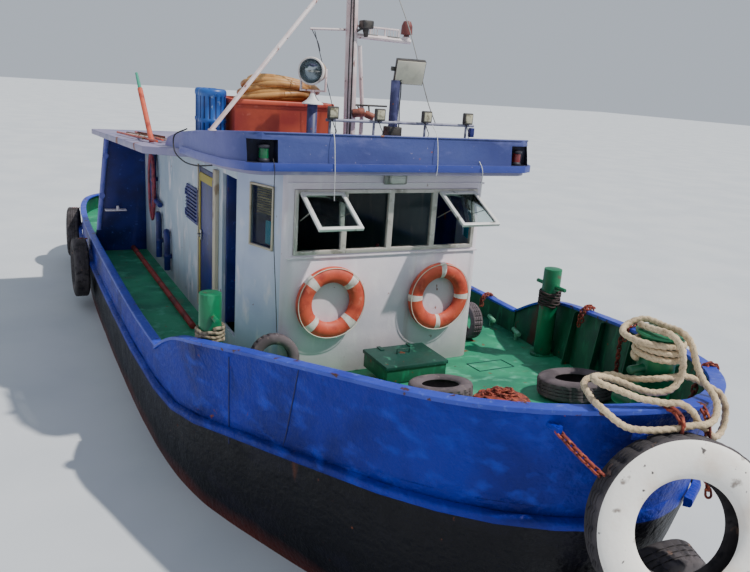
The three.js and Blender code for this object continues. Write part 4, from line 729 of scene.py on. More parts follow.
# DOORS
# Flat steel doors on pin hinges, painted navy: three with a lever handle, two of them with flat bars.
for cad_name, piece_name in (("door_fore_stbd", "open_door"), ("door_aft_stbd", "side_door"),
                             ("door_port", "port_door"), ("door_aft", "aft_door")):
    eased(cad_name, piece_name, navy.material, 0.004)
handle_steel = Finish("handle_steel", (170, 168, 160), 0.35, 0.8)
fitted("side_door_fittings", "door_aft_stbd", "door_paint",
       block((0.68, -1.362, 1.20), (0.72, -1.350, 2.64), ochre.material),
       block((1.26, -1.362, 1.20), (1.30, -1.350, 2.64), navy.material),
       block((0.70, -1.360, 2.56), (1.30, -1.350, 2.66), ochre.material),
       block((0.73, -1.366, 1.86), (0.78, -1.350, 1.98), handle_steel.material),
       bar((0.755, -1.366, 1.93), (0.755, -1.400, 1.93), 0.009, handle_steel.material),
       bar((0.755, -1.398, 1.93), (0.865, -1.398, 1.925), 0.009, handle_steel.material))
fitted("port_door_fittings", "door_port", "door_paint",
       block((1.69, 1.350, 1.20), (1.73, 1.362, 2.70), navy.material),
       block((2.04, 1.350, 1.88), (2.09, 1.366, 2.00), handle_steel.material),
       bar((2.065, 1.366, 1.95), (2.065, 1.398, 1.95), 0.009, handle_steel.material),
       bar((2.065, 1.396, 1.95), (1.955, 1.396, 1.945), 0.009, handle_steel.material))
fitted("aft_door_fittings", "door_aft", "door_paint",
       block((-2.912, -0.34, 1.86), (-2.900, -0.29, 1.98), handle_steel.material),
       bar((-2.910, -0.315, 1.93), (-2.945, -0.315, 1.93), 0.009, handle_steel.material),
       bar((-2.943, -0.315, 1.93), (-2.943, -0.425, 1.925), 0.009, handle_steel.material))


# ROOF SLAB
# Steel roof with a rolled edge, grey-lilac paint worn to rust on top where gear is dragged over it.
roof_paint = Finish("roof_paint", (150, 142, 172), 0.55)
roof_paint.stain((128, 126, 164), 0.42, 0.68, 1.6, 5)
roof_paint.stain((170, 164, 184), 0.54, 0.78, 5, 7)
roof_paint.stain(RUST, 0.64, 0.69, 4, 9, shift=3)
roof_paint.rise(roof_paint.noise(6, 4), 0.006, 0.8)
eased("roof_slab", "roof", roof_paint.material, 0.012)


# VISOR
# A raised plate round the roof's front over a thick lip, slate blue, hammered and brushed by hand.
def visor_finish():
    """Slate blue on the plate, cobalt on the lip below it, and lilac on the sides as painted light."""
    blue = Finish("visor_blue", (62, 74, 136), 0.42)
    blue.stain((48, 58, 120), 0.42, 0.62, 1.3, 5)
    blue.stain((92, 98, 156), 0.56, 0.72, 5, 6, stretch=(1, 0.5, 1))
    lip = blue.share(blue.along("Z"), 3.064, 3.058)
    blue.lay((50, 66, 150), lip)
    # Painted light: the sides are laid over with a lighter lilac where the plate turns to them.
    side = blue.share(blue.sum("ABSOLUTE", blue.along("Y"), 0.0), 1.52, 1.66)
    blue.lay((124, 124, 188), blue.sum("MULTIPLY", side, 0.7))
    blue.stain(RUST, 0.72, 0.74, 7, 9, shift=6)
    blue.stain((150, 140, 170), 0.70, 0.75, 26, 7, shift=1)
    blue.dull(blue.noise(7, 4), 0.28, 0.6)
    blue.rise(blue.noise(4.5, 4), 0.012, 0.9)
    blue.rise(blue.noise(24, 5, stretch=(1, 0.5, 1)), 0.003, 0.8)
    blue.rise(blue.noise(90, 3), 0.001, 0.6)
    return blue.material


visor_blue = visor_finish()
RECESS_LOW, RECESS_HIGH = Vector((2.975, 1.268, 3.0585)), Vector((3.095, 1.532, 3.262))
front_visor = eased("visor", "front_visor", visor_blue, 0.007, 28)
# The faces inside the lantern recesses are near-black navy: painted shade in the recesses.
recess_painted_shade = Finish("recess_painted_shade", (12, 14, 40), 0.7)
recess_painted_shade.stain((28, 32, 72), 0.55, 0.75, 14, 5)
front_visor.data.materials.append(recess_painted_shade.material)
for face in front_visor.data.polygons:
    spot = Vector((face.center.x, abs(face.center.y), face.center.z))
    if all(low <= c <= high for low, c, high in zip(RECESS_LOW, spot, RECESS_HIGH)):
        face.material_index = 1
visor_edge = [(1.62, 1.772, 3.179), (2.093, 1.745, 3.232), (2.676, 1.650, 3.284), (3.03, 1.505, 3.314),
              (3.080, 1.380, 3.318)]
visor_edge += [(x, -y, z) for x, y, z in reversed(visor_edge)]
fitted("visor_rim", "boat", "visor_paint", tube(visor_edge, 0.009, visor_blue, curved=False))


# SIDE LIGHTS
# Lanterns in dark housings on the visor's shelves, a green glass to starboard and a red one to port.
GLASS_LOW, GLASS_HIGH = 3.0964, 3.1804
for cad_name, piece_name, slot, colour in (
        ("side_light_stbd", "green_lantern", "side_light_green", (18, 96, 60)),
        ("side_light_port", "red_lantern", "side_light_red", (120, 40, 44))):
    glass = Finish(piece_name + "_glass", colour, 0.15)
    housing = Finish(piece_name + "_housing", (40, 40, 52), 0.5)
    lantern = eased(cad_name, piece_name, glass.material, 0.004)
    lantern.data.materials.append(housing.material)
    for face in lantern.data.polygons:
        if not GLASS_LOW < face.center.z < GLASS_HIGH:
            face.material_index = 1


# FRONT WINDOWS
# Four bays in a welded aluminium frame: fixed glass in the middle, a propped top-hung sash at each end.
aluminium = Finish("window_aluminium", (196, 190, 182), 0.42, 0.25)
aluminium.stain((140, 136, 126), 0.5, 0.7, 7, 6)
aluminium.stain((206, 204, 200), 0.58, 0.7, 30, 5)
aluminium.rise(aluminium.noise(80, 3), 0.0006)
white_sash = Finish("sash_white", (226, 226, 222), 0.38, 0.2)
white_sash.stain((150, 148, 140), 0.60, 0.7, 12, 6)


def glazing(name, tint):
    """Clear sheet glass with a pale tint."""
    sheet = Finish(name, tint, 0.06)
    sheet.shader.inputs["Transmission Weight"].default_value = 1.0
    sheet.shader.inputs["IOR"].default_value = 1.2
    return sheet.material


window_pane = glazing("window_glass", (206, 222, 220))
eased("window_frame", "front_frame", aluminium.material, 0.003)
painted("window_glass", window_pane)
SWING = math.radians(62)
HINGE = Vector((2.924, 0, 2.751))
SASH_BAR = 0.038
sash_out = Vector((math.cos(SWING), 0, math.sin(SWING)))
sash_down = Vector((math.sin(SWING), 0, -math.cos(SWING)))
for cad_name, piece_name in (("sash_stbd", "open_sash_stbd"), ("sash_port", "open_sash_port")):
    sash = eased(cad_name, piece_name, white_sash.material, 0.003)
    sash.data.materials.append(window_pane)
    low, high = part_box(cad_name)
    for face in sash.data.polygons:
        inside = low[1] + SASH_BAR < face.center.y < high[1] - SASH_BAR
        square = abs(face.normal.dot(sash_out)) > 0.9
        down = sash_down.dot(face.center - HINGE)
        if inside and square and SASH_BAR < down < 0.503:
            face.material_index = 1
    for y in (low[1] + 0.012, high[1] - 0.012):
        stay = bar((2.918, y, 2.50), (3.17, y, 2.630), 0.005, handle_steel.material, sides=8)
        fitted("sash_stay_%d" % round(1000 * y), "boat", "frame_aluminium", stay)


# CORNER WINDOWS
# One framed pane in each bent corner panel, with a wooden blind and a blue cloth behind it.
corner_pane = glazing("corner_glass", (206, 216, 214))
painted("corner_window_stbd", corner_pane)
painted("corner_window_port", corner_pane)
blind = Finish("blind_slats", (170, 150, 112), 0.7)
blind.stain((110, 92, 70), 0.5, 0.6, 40, 3, stretch=(0.1, 0.1, 1))
curtain = Finish("teal_cloth", (20, 150, 180), 0.9)
curtain.rise(curtain.noise(16, 3, stretch=(1, 1, 0.05)), 0.01)
CORNER_X, CORNER_Y, PANE_INSET = 2.200, 1.350, 0.068
corner_turn = math.atan2(CORNER_Y - 1.108, 0.700)
for side, word in ((-1, "stbd"), (1, "port")):
    slats = []
    for k in range(11):
        z = 2.74 - 0.024 * k
        slats.append(block((0.215, -0.006, z), (0.525, 0.006, z + 0.015), blind.material, 0.001))
    cloth = block((0.36, -0.010, 2.21), (0.53, 0.010, 2.44), curtain.material, 0.004)
    trim = []
    for x0, x1, z0, z1 in ((0.185, 0.555, 2.175, 2.195), (0.185, 0.555, 2.775, 2.795),
                           (0.185, 0.205, 2.175, 2.795), (0.535, 0.555, 2.175, 2.795)):
        trim.append(block((x0, 0.066, z0), (x1, 0.084, z1), beige.material))
    for piece, name, slot in ((slats + [cloth], "corner_blind_", "console_wood"),
                              (trim, "corner_trim_", "frame_aluminium")):
        only(*piece)
        bpy.ops.object.join()
        whole = bpy.context.object
        whole.matrix_world = (Matrix.Translation((CORNER_X, side * (CORNER_Y - PANE_INSET), 0))
                              @ Matrix.Rotation(-side * corner_turn, 4, "Z")
                              @ Matrix.Diagonal((1, side, 1, 1)))
        bpy.ops.object.transform_apply(location=True, rotation=True, scale=True)
        if side < 0:
            faced_out(whole)
        fitted(name + word, "boat", slot, whole)


# WING PLATES
# Navy steel screens between the house and the rail, with a raking pole on the outer edge, a small shelf
# and the red coaming pipe that runs forward along each side deck.
wing_red = Finish("coaming_red", (150, 52, 48), 0.6)
wing_red.stain((90, 40, 36), 0.5, 0.66, 6, 7)
pale_blue = Finish("pole_blue", (108, 112, 192), 0.45)
pale_blue.stain((60, 84, 180), 0.5, 0.66, 6, 6)
POLE_X = -2.835
for word, side in (("stbd", -1), ("port", 1)):
    wing = eased("wing_plate_" + word, "wing_screen_" + word, navy.material, 0.004)
    wing.data.materials.append(wing_red.material)
    for face in wing.data.polygons:
        if face.center.x > -2.85:
            face.material_index = 1
    fitted("wing_pole_" + word, "boat", "rail_paint",
           bar((POLE_X, side * 1.925, 2.690), (POLE_X, side * 2.085, 1.25), 0.036, pale_blue.material,
               ease=0.004),
           bar((POLE_X, side * 1.955, 2.42), (-2.80, side * 1.955, 2.42), 0.046, pale_blue.material),
           bar((POLE_X, side * 2.025, 1.80), (-2.80, side * 2.025, 1.80), 0.046, pale_blue.material))
    inner, outer = sorted((side * 1.67, side * 1.99))
    fitted("wing_shelf_" + word, "boat", "house_paint",
           block((-2.855, inner, 1.565), (-2.72, outer, 1.585), front_paint),
           bar((-2.78, side * 1.80, 1.586), (-2.78, side * 1.80, 1.64), 0.028, front_paint, 0.018))


# LIFE RINGS
# Hard foam rings with four white cloth bands and a thin grab line, hung on the front wall.
ring_orange = Finish("ring_orange", (206, 84, 60), 0.6)
ring_orange.stain((170, 60, 46), 0.5, 0.68, 7, 6)
ring_orange.stain((224, 124, 98), 0.60, 0.78, 14, 6, shift=3)
ring_orange.rise(ring_orange.noise(40, 3), 0.0012)
ring_white = Finish("ring_band", (222, 214, 208), 0.8)
ring_white.stain((176, 160, 150), 0.5, 0.68, 12, 6)
line_cord = Finish("thin_line", (214, 206, 190), 0.9)
RING_MAJOR, RING_MINOR, BANDS, BAND_HALF = 0.285, 0.082, 4, math.radians(7)


def off_band(x, y, first):
    """The angle from a place on the ring to the nearest band."""
    turn = (math.atan2(y, x) + first) % (2 * math.pi / BANDS)
    return min(turn, 2 * math.pi / BANDS - turn)


for cad_name, piece_name, first in (("life_ring_stbd", "ring_stbd", math.pi / 4),
                                    ("life_ring_port", "ring_port", 0.03)):
    low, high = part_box(cad_name)
    centre = (Vector(low) + Vector(high)) / 2
    bpy.ops.mesh.primitive_torus_add(major_segments=96, minor_segments=20, major_radius=RING_MAJOR,
                                     minor_radius=RING_MINOR)
    ring = bpy.context.object
    ring.data.materials.append(ring_orange.material)
    ring.data.materials.append(ring_white.material)
    for face in ring.data.polygons:
        if off_band(face.center.x, face.center.y, first) < BAND_HALF:
            face.material_index = 1
    for vertex in ring.data.vertices:
        if off_band(vertex.co.x, vertex.co.y, first) < BAND_HALF + 0.02:
            core = Vector((vertex.co.x, vertex.co.y, 0)).normalized() * RING_MAJOR
            vertex.co = core + (vertex.co - core) * 1.03
    ring.scale = (1, 1, 0.69)
    ring.rotation_euler = (0, math.pi / 2, 0)
    ring.location = centre
    bpy.ops.object.transform_apply(location=True, rotation=True, scale=True)
    rounded_look(ring, 60)
    slack = []  # the grab line, tied down at the bands and loose between them
    for k in range(33):
        angle = 2 * math.pi * k / 32
        drawn = 0.012 * math.sin(2 * angle) ** 2
        reach = RING_MAJOR + 0.070 + 0.5 * drawn
        slack.append((centre.x + 0.040 + 0.3 * drawn, centre.y + reach * math.cos(angle),
                      centre.z + reach * math.sin(angle)))
    line = tube(slack, 0.0045, line_cord.material, sides=6)
    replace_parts(ring, cad_name)
    fitted(piece_name, "boat", "ring_plastic", ring, line)


# HATCHES
# Steel coamings, each with a flat lid on two strap hinges and a bent grip; one before the house, one aft.
lid_green = Finish("lid_green", (14, 66, 56), 0.5)
lid_green.stain((10, 56, 46), 0.45, 0.65, 4, 6)
lid_green.stain((60, 130, 104), 0.60, 0.72, 12, 7)
lid_green.stain(RUST, 0.67, 0.71, 9, 9, shift=4)
lid_green.rise(lid_green.noise(20, 5), 0.003, 0.8)
for word, hinge_x, inward, half, mid in (("fore", 3.045, 0.10, 0.34, 0.065),
                                         ("aft", -5.485, -0.10, 0.32, 0.0)):
    eased(word + "_hatch_coaming", word + "_coaming", inner_green, 0.004)
    eased(word + "_hatch_lid", word + "_lid", lid_green.material, 0.010)
    low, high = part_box(word + "_hatch_lid")
    gear = []
    for y in (mid - 0.5 * half, mid + 0.5 * half):
        gear.append(block((min(hinge_x, hinge_x + inward), y - 0.022, high[2]),
                          (max(hinge_x, hinge_x + inward), y + 0.022, high[2] + 0.010), lid_green.material))
    grip_x, top = low[0] + 0.22, high[2]
    gear.append(tube([(grip_x, mid - 0.07, top), (grip_x, mid - 0.07, top + 0.045),
                      (grip_x, mid + 0.07, top + 0.045), (grip_x, mid + 0.07, top)],
                     0.008, lid_green.material, curved=False))
    fitted(word + "_lid_gear", word + "_hatch_lid", "bulwark_paint", *gear)


# MOORING POSTS AND BITTS
# Thick pipe posts with welded cross pins, in glossy green paint rubbed through to rust by ropes.
post_green = Finish("post_green", (4, 112, 70), 0.38)
post_green.stain((2, 76, 52), 0.45, 0.65, 3, 6)
post_green.stain((40, 150, 104), 0.58, 0.74, 9, 6, stretch=(1, 1, 0.3))
post_green.stain((88, 70, 56), 0.64, 0.70, 7, 9, shift=3)
post_green.rise(post_green.noise(22, 5), 0.003, 0.8)
POST_X, POST_Y, POST_RADIUS, POST_LOW, POST_HIGH, PIN_Z = 3.250, 1.900, 0.098, 0.9703, 1.965, 1.775
PIN_HALF, WELD_HALF = 0.23, POST_RADIUS + 0.008
for word, side in (("stbd", -1), ("port", 1)):
    y = side * POST_Y
    pillar = bar((POST_X, y, POST_LOW), (POST_X, y, POST_HIGH), POST_RADIUS, post_green.material,
                 ease=0.008, sides=48)
    pin = bar((POST_X - PIN_HALF, y, PIN_Z), (POST_X + PIN_HALF, y, PIN_Z), 0.022, post_green.material,
              ease=0.005, sides=20)
    weld = bar((POST_X - WELD_HALF, y, PIN_Z), (POST_X + WELD_HALF, y, PIN_Z), 0.029, post_green.material,
               ease=0.006, sides=20)
    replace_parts(fitted("post_" + word, "boat", "bulwark_paint", pillar, pin, weld), "mooring_post_" + word)
for cad_name, piece_name in (("bow_bitt", "bitt"), ("towing_bitt", "tow_bitt")):
    eased(cad_name, piece_name, post_green.material, 0.006, 40)
fitted("post_collars", "boat", "bulwark_paint",
       *[bar((POST_X, y, 0.956), (POST_X, y, 0.986), 0.135, post_green.material, ease=0.005, sides=28)
         for y in (-POST_Y, POST_Y)])
old_line = Finish("old_line", (150, 138, 116), 0.95)
old_line.stain((96, 84, 72), 0.45, 0.62, 30, 5)
worn_wire = Finish("worn_wire", (58, 46, 44), 0.8)
lashing = []
for side, material, top, count, thick in ((-1, old_line.material, 1.665, 4, 0.017),
                                          (1, worn_wire.material, 1.72, 6, 0.013)):
    coil = []
    reach = POST_RADIUS + thick
    for k in range(count * 16 + 1):
        angle = 2 * math.pi * k / 16
        wobble = 0.008 * math.sin(1.7 * k)
        coil.append((POST_X + reach * math.cos(angle), side * POST_Y + reach * math.sin(angle),
                     top - 2.1 * thick * k / 16 + wobble))
    lashing.append(tube(coil, thick, material))
fitted("post_lashings", "boat", "rope_fibre", *lashing)


# MAST
# A steel tube with a railed arm to port, a spreader to starboard and a raking stay, with a small flood,
# two horns and the wires that run up beside it.
mast_white = Finish("mast_white", (224, 212, 212), 0.5)
mast_white.stain((206, 178, 178), 0.45, 0.62, 3, 5)
mast_white.stain((150, 96, 84), 0.63, 0.68, 14, 8, stretch=(1, 1, 0.35), shift=2)
mast_white.stain((96, 58, 48), 0.67, 0.71, 22, 8, shift=5)
mast_white.rise(mast_white.noise(30, 5), 0.003, 0.8)
lantern_red = Finish("lantern_red", (120, 62, 58), 0.5)
lantern_red.stain((80, 40, 40), 0.5, 0.64, 14, 5)
mast = eased("mast", "mast_tube", mast_white.material, 0.003, 40)
mast.data.materials.append(lantern_red.material)
for face in mast.data.polygons:
    if face.center.y > 0.42 and face.center.z > 4.28:
        face.material_index = 1
eased("mast_stay", "stay_pipe", mast_white.material, 0.003, 40)
black_wire = Finish("black_cable", (36, 34, 38), 0.6)
white_wire = Finish("white_cable", (222, 222, 222), 0.5)
ARM_X, ARM_Z = 2.085, 4.262
railing = []
for y0, y1 in ((0.02, 0.14), (0.26, 0.40)):
    railing.append(block((ARM_X - 0.015, y0, ARM_Z), (ARM_X + 0.015, y1, ARM_Z + 0.010),
                         grey_metal.material, 0.001))
    for k in range(5):
        y = y0 + (y1 - y0) * k / 4
        railing.append(bar((ARM_X, y, ARM_Z), (ARM_X, y, ARM_Z + 0.090), 0.004, mast_white.material,
                           sides=6))
fitted("arm_rails", "boat", "mast_paint", *railing)
mast_leads = (
    (black_wire, 0.009, [(2.146, -0.195, 5.78), (2.150, -0.190, 5.2), (2.152, -0.178, 4.6),
                         (2.155, -0.165, 4.2), (2.155, -0.150, 3.6), (2.150, -0.140, 3.06)]),
    (black_wire, 0.006, [(2.150, -0.225, 5.70), (2.156, -0.215, 5.0), (2.156, -0.205, 4.3),
                         (2.150, -0.19, 3.7), (2.152, -0.17, 3.06)]),
    (mast_white, 0.022, [(2.10, -0.06, 4.15), (2.10, -0.03, 3.85), (2.10, 0.005, 3.52),
                         (2.10, 0.01, 3.05)]),
    (black_wire, 0.004, [(2.085, -0.560, 4.25), (2.20, -0.45, 3.75), (2.24, -0.36, 3.40),
                         (2.23, -0.34, 3.06)]),
    (black_wire, 0.004, [(2.085, -0.590, 4.26), (2.10, -0.52, 4.13), (2.10, -0.50, 4.06)]),
)
fitted("mast_cables", "boat", "mast_paint",
       *[tube(run, radius, finish.material) for finish, radius, run in mast_leads])
small_dark = Finish("dark_housing", (74, 70, 66), 0.5)
small_dark.stain((44, 42, 42), 0.45, 0.62, 18, 5)
fitted("mast_flood", "boat", "lamp_housing",
       block((2.09, -0.085, 4.315), (2.21, 0.035, 4.395), small_dark.material, 0.012),
       bar((2.15, -0.03, 4.318), (2.15, -0.02, 4.235), 0.036, small_dark.material, 0.020),
       bar((2.10, -0.13, 4.27), (2.14, -0.04, 4.33), 0.012, small_dark.material))
horn_brown = Finish("horn_brown", (150, 84, 66), 0.6)
horn_brown.stain((96, 52, 42), 0.45, 0.62, 14, 6)
fitted("mast_horns", "boat", "lamp_housing",
       bar((2.110, -0.100, 3.556), (2.180, 0.260, 3.560), 0.010, small_dark.material),
       bar((2.150, -0.125, 3.470), (2.200, -0.005, 3.490), 0.044, horn_brown.material, ease=0.012),
       bar((2.150, 0.020, 3.474), (2.200, 0.105, 3.440), 0.038, horn_brown.material, ease=0.010),
       bar((2.120, -0.060, 3.556), (2.170, -0.060, 3.520), 0.009, small_dark.material),
       bar((2.150, 0.060, 3.556), (2.170, 0.060, 3.490), 0.009, small_dark.material))
fitted("high_wire", "boat", "mast_paint",
       tube([(2.083, -0.20, 5.795), (2.30, -0.02, 5.10), (2.62, 0.20, 4.35), (2.90, 0.34, 3.62),
             (2.96, 0.40, 3.445)], 0.005, grey_metal.material))


# SEARCHLIGHT
# A drum lamp in a yoke on a slate post with a white cone cap: tan barrel, white bezel, deep reflector.
def turned(profile, steps=48, closed=True):
    """A body turned about Z from a profile of radius and height."""
    mesh = bpy.data.meshes.new("turned")
    edges = [(k, k + 1) for k in range(len(profile) - 1)] + ([(len(profile) - 1, 0)] if closed else [])
    mesh.from_pydata([(radius, 0, height) for radius, height in profile], edges, [])
    piece = bpy.data.objects.new("turned", mesh)
    bpy.context.collection.objects.link(piece)
    apply(piece, "SCREW", angle=2 * math.pi, steps=steps, render_steps=steps, use_merge_vertices=True,
          merge_threshold=0.0001)
    bpy.ops.object.mode_set(mode="EDIT")
    bpy.ops.mesh.select_all(action="SELECT")
    bpy.ops.mesh.remove_doubles(threshold=0.00005)
    bpy.ops.object.mode_set(mode="OBJECT")
    faced_out(piece)
    rounded_look(piece, 40)
    return piece


barrel_tan = Finish("barrel_tan", (186, 160, 134), 0.5)
barrel_tan.stain((146, 116, 94), 0.45, 0.64, 9, 6)
barrel_tan.stain(RUST, 0.66, 0.70, 16, 8, shift=3)
mirror = Finish("reflector", (150, 160, 166), 0.18, 0.9)
lamp_slate = Finish("lamp_slate", (52, 54, 98), 0.5)
lamp_slate.stain((84, 86, 132), 0.52, 0.68, 11, 6)
lamp_slate.stain(RUST, 0.68, 0.71, 18, 8, shift=3)
LAMP_X, LAMP_Y, LAMP_Z = 2.400, -0.680, 3.860
CAP_LOW, CORE_RADIUS = 3.552, 0.020
post = eased("searchlight_post", "lamp_post", lamp_slate.material, 0.004, 40)
for vertex in post.data.vertices:  # the post's plain cone draws in under the hollow cap
    reach = math.hypot(vertex.co.x - LAMP_X, vertex.co.y - LAMP_Y)
    if vertex.co.z > CAP_LOW + 0.0015 and reach > CORE_RADIUS:
        vertex.co.x = LAMP_X + (vertex.co.x - LAMP_X) * CORE_RADIUS / reach
        vertex.co.y = LAMP_Y + (vertex.co.y - LAMP_Y) * CORE_RADIUS / reach
cap = turned([(0.0, 3.662), (0.016, 3.660), (0.026, 3.652), (0.036, 3.622), (0.060, 3.590), (0.098, 3.566),
              (0.104, 3.560), (0.104, CAP_LOW), (0.0, CAP_LOW)], closed=False)
cap.location = (LAMP_X, LAMP_Y, 0)
cap.data.materials.append(white_wire.material)
fitted("lamp_post_cap", "boat", "door_paint", cap)
eased("searchlight_yoke", "lamp_yoke", mast_white.material, 0.003, 40)
panned = Matrix.Translation((LAMP_X, LAMP_Y, LAMP_Z)) @ Matrix.Rotation(math.radians(-40), 4, "Z")
facing = panned @ Matrix.Rotation(math.pi / 2, 4, "Y")
barrel = turned([(0.0, -0.150), (0.058, -0.146), (0.086, -0.122), (0.100, -0.100), (0.105, -0.060),
                 (0.105, 0.058), (0.124, 0.060), (0.130, 0.066), (0.130, 0.094), (0.126, 0.100),
                 (0.114, 0.100), (0.104, 0.070), (0.094, 0.036), (0.064, 0.012), (0.026, 0.002),
                 (0.0, 0.0)], closed=False)
barrel.data.materials.append(barrel_tan.material)
barrel.data.materials.append(ring_white.material)
barrel.data.materials.append(mirror.material)
for face in barrel.data.polygons:
    reach = math.hypot(face.center.x, face.center.y)
    if reach > 0.110 and face.center.z > 0.05:
        face.material_index = 1
    elif reach < 0.112 and face.center.z > -0.02 and face.normal.z > 0.1:
        face.material_index = 2
bulb = turned([(0.0, 0.060), (0.012, 0.054), (0.016, 0.040), (0.012, 0.006), (0.0, 0.004)], 20,
              closed=False)
bulb.data.materials.append(lamp_glass.material)
pins = bar((0, -0.115, 0), (0, 0.115, 0), 0.012, handle_steel.material)
for piece in (barrel, bulb):
    piece.data.transform(facing)
pins.data.transform(panned)
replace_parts(barrel, "searchlight")
fitted("lamp_barrel", "searchlight", "lamp_housing", barrel, bulb, pins)


# FLOOD LIGHTS
# Four small floods on a bar above the visor and one large one on a slate post, with their loose leads.
flood_face = Finish("flood_glass", (186, 180, 156), 0.15)
flood_face.stain((110, 104, 84), 0.45, 0.6, 20, 3)
big_face = Finish("big_flood_glass", (214, 208, 190), 0.25)
big_face.stain((190, 184, 168), 0.5, 0.7, 9, 4)
bar_paint = Finish("bar_paint", (140, 140, 160), 0.5)
bar_paint.stain((90, 90, 110), 0.5, 0.64, 12, 6)
BAR_X, BAR_Z, ROOF_TOP = 2.960, 3.440, 3.032
rack = [bar((BAR_X, -0.770, BAR_Z), (BAR_X, 0.850, BAR_Z), 0.014, bar_paint.material)]
for y in (-0.73, -0.28, 0.28, 0.76):
    rack.append(bar((BAR_X, y, ROOF_TOP), (BAR_X, y, BAR_Z), 0.012, bar_paint.material))
for y in (-0.72, -0.24, 0.27, 0.75):
    low = Vector((BAR_X + 0.010, y - 0.050, BAR_Z + 0.014))
    high = Vector((BAR_X + 0.060, y + 0.050, BAR_Z + 0.124))
    rack.append(block(low, high, small_dark.material, 0.009))
    rack.append(block((high.x - 0.004, y - 0.038, low.z + 0.014),
                      (high.x + 0.004, y + 0.038, high.z - 0.014),
                      flood_face.material, 0.003))
    rack.append(bar((BAR_X, y, BAR_Z), (BAR_X + 0.03, y, BAR_Z + 0.02), 0.010, small_dark.material))
    for rib in range(4):
        rack.append(block((low.x - 0.008, y - 0.036 + 0.022 * rib, low.z + 0.02),
                          (low.x + 0.004, y - 0.030 + 0.022 * rib, high.z - 0.02), small_dark.material,
                          0.001))
    rack.append(tube([(BAR_X + 0.012, y, BAR_Z + 0.02), (BAR_X + 0.03, y + 0.02, BAR_Z - 0.05),
                      (BAR_X + 0.02, y + 0.05, BAR_Z - 0.10), (BAR_X - 0.02, y + 0.03, BAR_Z - 0.16)],
                     0.004, black_wire.material, sides=6))
rack.append(block((BAR_X - 0.018, 0.80, BAR_Z - 0.11), (BAR_X + 0.03, 0.85, BAR_Z - 0.02), navy.material,
                  0.006))
FLOOD_X, FLOOD_Y, FLOOD_TOP = 2.780, 0.020, 3.830
rack += [
    bar((FLOOD_X, FLOOD_Y, ROOF_TOP), (FLOOD_X, FLOOD_Y, FLOOD_TOP), 0.046, lamp_slate.material, ease=0.004,
        sides=24),
    block((FLOOD_X - 0.070, FLOOD_Y - 0.070, 3.270), (FLOOD_X + 0.070, FLOOD_Y + 0.070, 3.392),
          small_dark.material, 0.008),
    bar((FLOOD_X, FLOOD_Y, BAR_Z), (BAR_X, FLOOD_Y, BAR_Z), 0.014, bar_paint.material),
    bar((FLOOD_X, FLOOD_Y, FLOOD_TOP - 0.03), (FLOOD_X + 0.05, FLOOD_Y + 0.09, FLOOD_TOP + 0.06), 0.020,
        small_dark.material),
    tube([(2.75, 0.09, 3.90), (2.80, 0.066, 3.84), (2.828, 0.056, 3.72), (2.832, 0.050, 3.58),
          (2.826, 0.062, 3.44), (2.830, 0.052, 3.30), (2.826, 0.058, 3.13)], 0.006, black_wire.material),
]
tilt = (Matrix.Translation((FLOOD_X + 0.060, FLOOD_Y + 0.110, FLOOD_TOP + 0.085))
        @ Matrix.Rotation(math.radians(-15), 4, "Z") @ Matrix.Rotation(math.radians(22), 4, "Y"))
head = [block((-0.034, -0.145, -0.120), (0.024, 0.145, 0.120), small_dark.material, 0.008),
        block((0.020, -0.138, -0.113), (0.030, 0.138, 0.113), big_face.material, 0.003),
        block((-0.028, -0.184, 0.000), (0.006, -0.146, 0.035), small_dark.material, 0.004)]
for k in range(9):
    head.append(block((-0.035, -0.110 + 0.026 * k, -0.100), (-0.020, -0.104 + 0.026 * k, 0.100),
                      small_dark.material, 0.001))
for piece in head:
    piece.data.transform(tilt)
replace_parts(rack[0], "flood_lights")
fitted("flood_rack", "boat", "lamp_housing", *rack, *head)


# FISH TUB, DRUMS AND HOSES
# A moulded tub and two fluted drums stowed on the roof, with yellow-brown hose coiled over the tub.
tub_red = Finish("tub_red", (196, 86, 58), 0.55)
tub_red.stain((168, 62, 50), 0.45, 0.65, 2.5, 5)
tub_red.stain((210, 120, 96), 0.64, 0.78, 12, 7, shift=3)
tub_red.rise(tub_red.noise(8, 3), 0.004, 0.6)
eased("fish_tub", "tub", tub_red.material, 0.022, 60)
hose_brown = Finish("hose_brown", (196, 146, 84), 0.45)
hose_brown.stain((150, 98, 52), 0.45, 0.65, 6, 5)
coils = []
for k in range(6):
    turn = []
    reach_x, reach_y, rise = 0.31 - 0.025 * (k % 3), 0.40 - 0.045 * (k % 2), 3.525 + 0.030 * k
    for j in range(25):
        angle = 2 * math.pi * j / 24
        hump = 0.10 * (0.5 + 0.5 * math.cos(angle - 0.5 + 0.25 * k)) ** 2
        turn.append((1.60 + reach_x * math.cos(angle), -0.80 + 0.02 * k + reach_y * math.sin(angle),
                     rise + hump))
    coils.append(tube(turn, 0.036, hose_brown.material, sides=12))
fitted("tub_hoses", "boat", "tub_plastic", *coils)
drum_blue = Finish("drum_blue", (34, 92, 170), 0.4)
drum_blue.stain((24, 66, 140), 0.45, 0.62, 4, 5)
drum_blue.stain((120, 150, 190), 0.64, 0.72, 16, 7)
drum_shade = Finish("drum_shade", (18, 48, 112), 0.6)
drum_pieces = []
FLUTES, FLUTE_DEPTH = 14, 0.12
